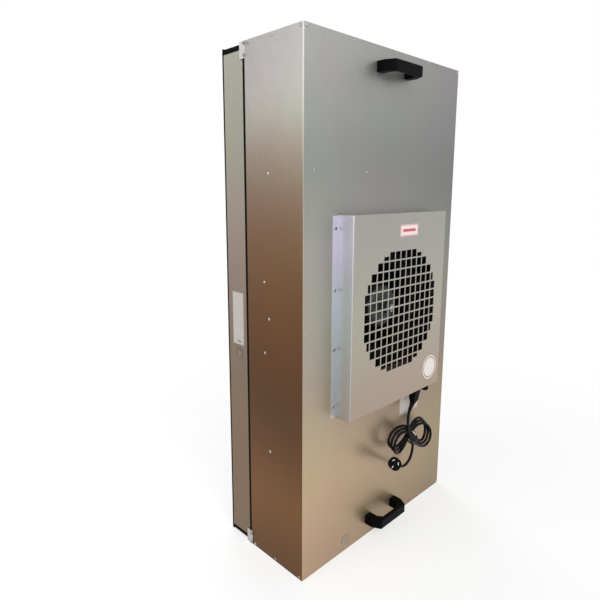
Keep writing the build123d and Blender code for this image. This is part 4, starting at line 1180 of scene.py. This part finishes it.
OUTFITS = (
    (CASING_STEEL, ("casing_wrap", "end_plate_lower", "end_plate_upper")),
    (HOOD_STEEL, ("hood",)),
    (INNER_STEEL, ("diffuser_plate", "motor_plate", "motor_rail_lower", "motor_rail_upper", "capacitor_clamp")),
    (RIVET_ALLOY, ("face_rivets", "side_rivets", "impeller_rivets")),
    (ZINC, ("hood_screws", "handle_screws", "bracket_screws", "ring_screws", "mount_bolts", "motor_bolts",
            "inlet_screws", "speed_nut", "rotor_nut", "motor_bearings")),
    (BRACKET_ZINC, ("corner_brackets",)),
    (INLET_PAINTED_SHADE_PLASTIC, ("inlet_ring",)),
    (FRAME_ALLOY, ("filter_rail_left", "filter_rail_right", "filter_rail_top", "filter_rail_bottom")),
    (HANDLE_PLASTIC, ("handle_upper", "handle_lower")),
    (FIXTURE_PLASTIC, ("power_inlet", "speed_switch", "speed_knob", "cord_connector", "plug_body")),
    (IMPELLER_PLASTIC, ("impeller",)),
    (CORD_JACKET, ("motor_lead", "cord_feed", "cord_hank", "cord_tail")),
    (RUBBER, ("rubber_mounts", "grommet")),
    (CASE_PLASTIC, ("capacitor", "terminal_block")),
    (BLACK_FOAM, ("casing_gasket", "filter_end_pad_lower", "filter_end_pad_upper", "outlet_seal")),
    (LINING_PAINTED_SHADE_FOAM, ("hood_lining", "side_linings")),
    (FILTER_PAPER, ("filter_media",)),
    (GUARD_WHITE, ("outlet_guard",)),
    (WINDING, ("stator_windings",)),
    (ROTOR_CAST, ("rotor_shell", "motor_stator")),
    (SHAFT_STEEL, ("motor_shaft",)),
    (PIN_METAL, ("plug_pins",)),
)


def dress_nodes() -> None:
    """Gives every CAD node the finish of its material."""
    for finish, names in OUTFITS:
        material = finish.material()
        for name in names:
            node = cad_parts[name]
            if not node.material_slots:
                node.data.materials.append(material)
            for holder in node.material_slots:
                holder.material = material
            log.info("%s wears %s", name, finish.name)


# --- studio ---


@dataclass(frozen=True)
class Lamp:
    """A square soft lamp that looks at the middle of the unit."""

    name: str
    place: Point
    size: float
    power: float
    tint: Point
    aim: Point = (0.0, 0.0, 0.6)

    def build(self) -> None:
        """Hangs the lamp."""
        data = bpy.data.lights.new(self.name, "AREA")
        data.shape = "SQUARE"
        data.size = self.size
        data.energy = self.power
        data.color = self.tint
        ray = Vector(self.aim) - Vector(self.place)
        turn = ray.to_track_quat("-Z", "Y").to_matrix().to_4x4()
        linked(self.name, data).matrix_world = Matrix.Translation(self.place) @ turn


@dataclass
class Studio:
    """Pale floor, soft lamps, white surround and the camera."""

    eye: Point = (-0.9939, -0.8160, 0.8631)
    gaze: Point = (80.05, 0.0, -43.86)
    lens: float = 30.31
    shift: tuple[float, float] = (0.0097, -0.0327)
    floor_reach: float = 8.0
    floor_colour: Colour = (248, 248, 247)
    fade_from: float = 0.35
    fade_to: float = 1.6
    least_glow: float = 0.62
    fill_tint: Point = (0.95, 0.97, 1.0, 1.0)
    fill_strength: float = 0.55
    lamps: tuple[Lamp, ...] = (Lamp("key_lamp", (-1.6, -2.6, 2.6), 1.8, 70.0, (1.0, 0.985, 0.96)),
                               Lamp("side_lamp", (-2.8, 0.6, 1.8), 1.6, 34.0, (0.97, 0.985, 1.0)),
                               Lamp("back_lamp", (1.4, 2.6, 2.2), 1.8, 40.0, EVEN))

    def camera(self) -> None:
        """Places the camera at the viewing angle."""
        data = bpy.data.cameras.new("camera")
        data.lens = self.lens
        data.shift_x, data.shift_y = self.shift
        holder = linked("camera", data)
        holder.location = self.eye
        holder.rotation_euler = Euler([math.radians(angle) for angle in self.gaze])
        bpy.context.scene.camera = holder

    @staticmethod
    def seen_directly(graph: Graph) -> Value:
        """1 for rays from the camera, a mirror or glass, else 0."""
        rays = [graph.value("LightPath", output=f"Is {kind} Ray")
                for kind in ("Camera", "Glossy", "Transmission")]
        return rays[0].most(rays[1]).most(rays[2])

    def floor(self) -> None:
        """Lays the pale floor, which keeps the unit's shadow and turns white further out."""
        mesh = bmesh.new()
        bmesh.ops.create_grid(mesh, x_segments=1, y_segments=1, size=self.floor_reach)
        data = bpy.data.meshes.new("studio_floor")
        mesh.to_mesh(data)
        mesh.free()
        graph = Graph.of_material("studio_floor")
        matt = graph.value("BsdfDiffuse", {"Color": linear(self.floor_colour)})
        glow = graph.value("Emission", {"Color": WHITE, "Strength": 1.0})
        x, y, _ = graph.axes()
        fade = ((x * x + y * y) ** 0.5).span(self.fade_from, self.fade_to)
        share = self.seen_directly(graph) * (self.least_glow + fade * (1.0 - self.least_glow))
        shader = graph.value("MixShader", {0: share, 1: matt, 2: glow})
        graph.node("OutputMaterial", {"Surface": shader})
        data.materials.append(graph.owner)
        linked("studio_floor", data)

    def surround(self) -> None:
        """Sets the white surround and its softer fill light."""
        world = bpy.data.worlds.new("surround")
        bpy.context.scene.world = world
        graph = Graph(world)
        seen = graph.value("Background", {"Color": WHITE, "Strength": 1.0})
        fill = graph.value("Background",
                           {"Color": self.fill_tint, "Strength": self.fill_strength})
        shader = graph.value("MixShader", {0: self.seen_directly(graph), 1: fill, 2: seen})
        graph.node("OutputWorld", {"Surface": shader})

    def build(self) -> None:
        """Sets everything up."""
        self.camera()
        self.floor()
        self.surround()
        for lamp in self.lamps:
            lamp.build()
        bpy.context.scene.view_settings.view_transform = "Standard"


def main() -> None:
    """Builds the unit's looks in order."""
    logging.basicConfig(level=logging.INFO, format="%(message)s")
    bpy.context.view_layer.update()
    Studio().build()
    SupplyCord().build()
    for label in LABELS:
        label.build()
    for node, across in (("hood_screws", False), ("handle_screws", False), ("ring_screws", False),
                         ("bracket_screws", True)):
        CrossHeads(node, across).build()
    SpeedKnob().build()
    OutletMesh().build()
    dress_nodes()


if __name__ == "__main__":
    main()
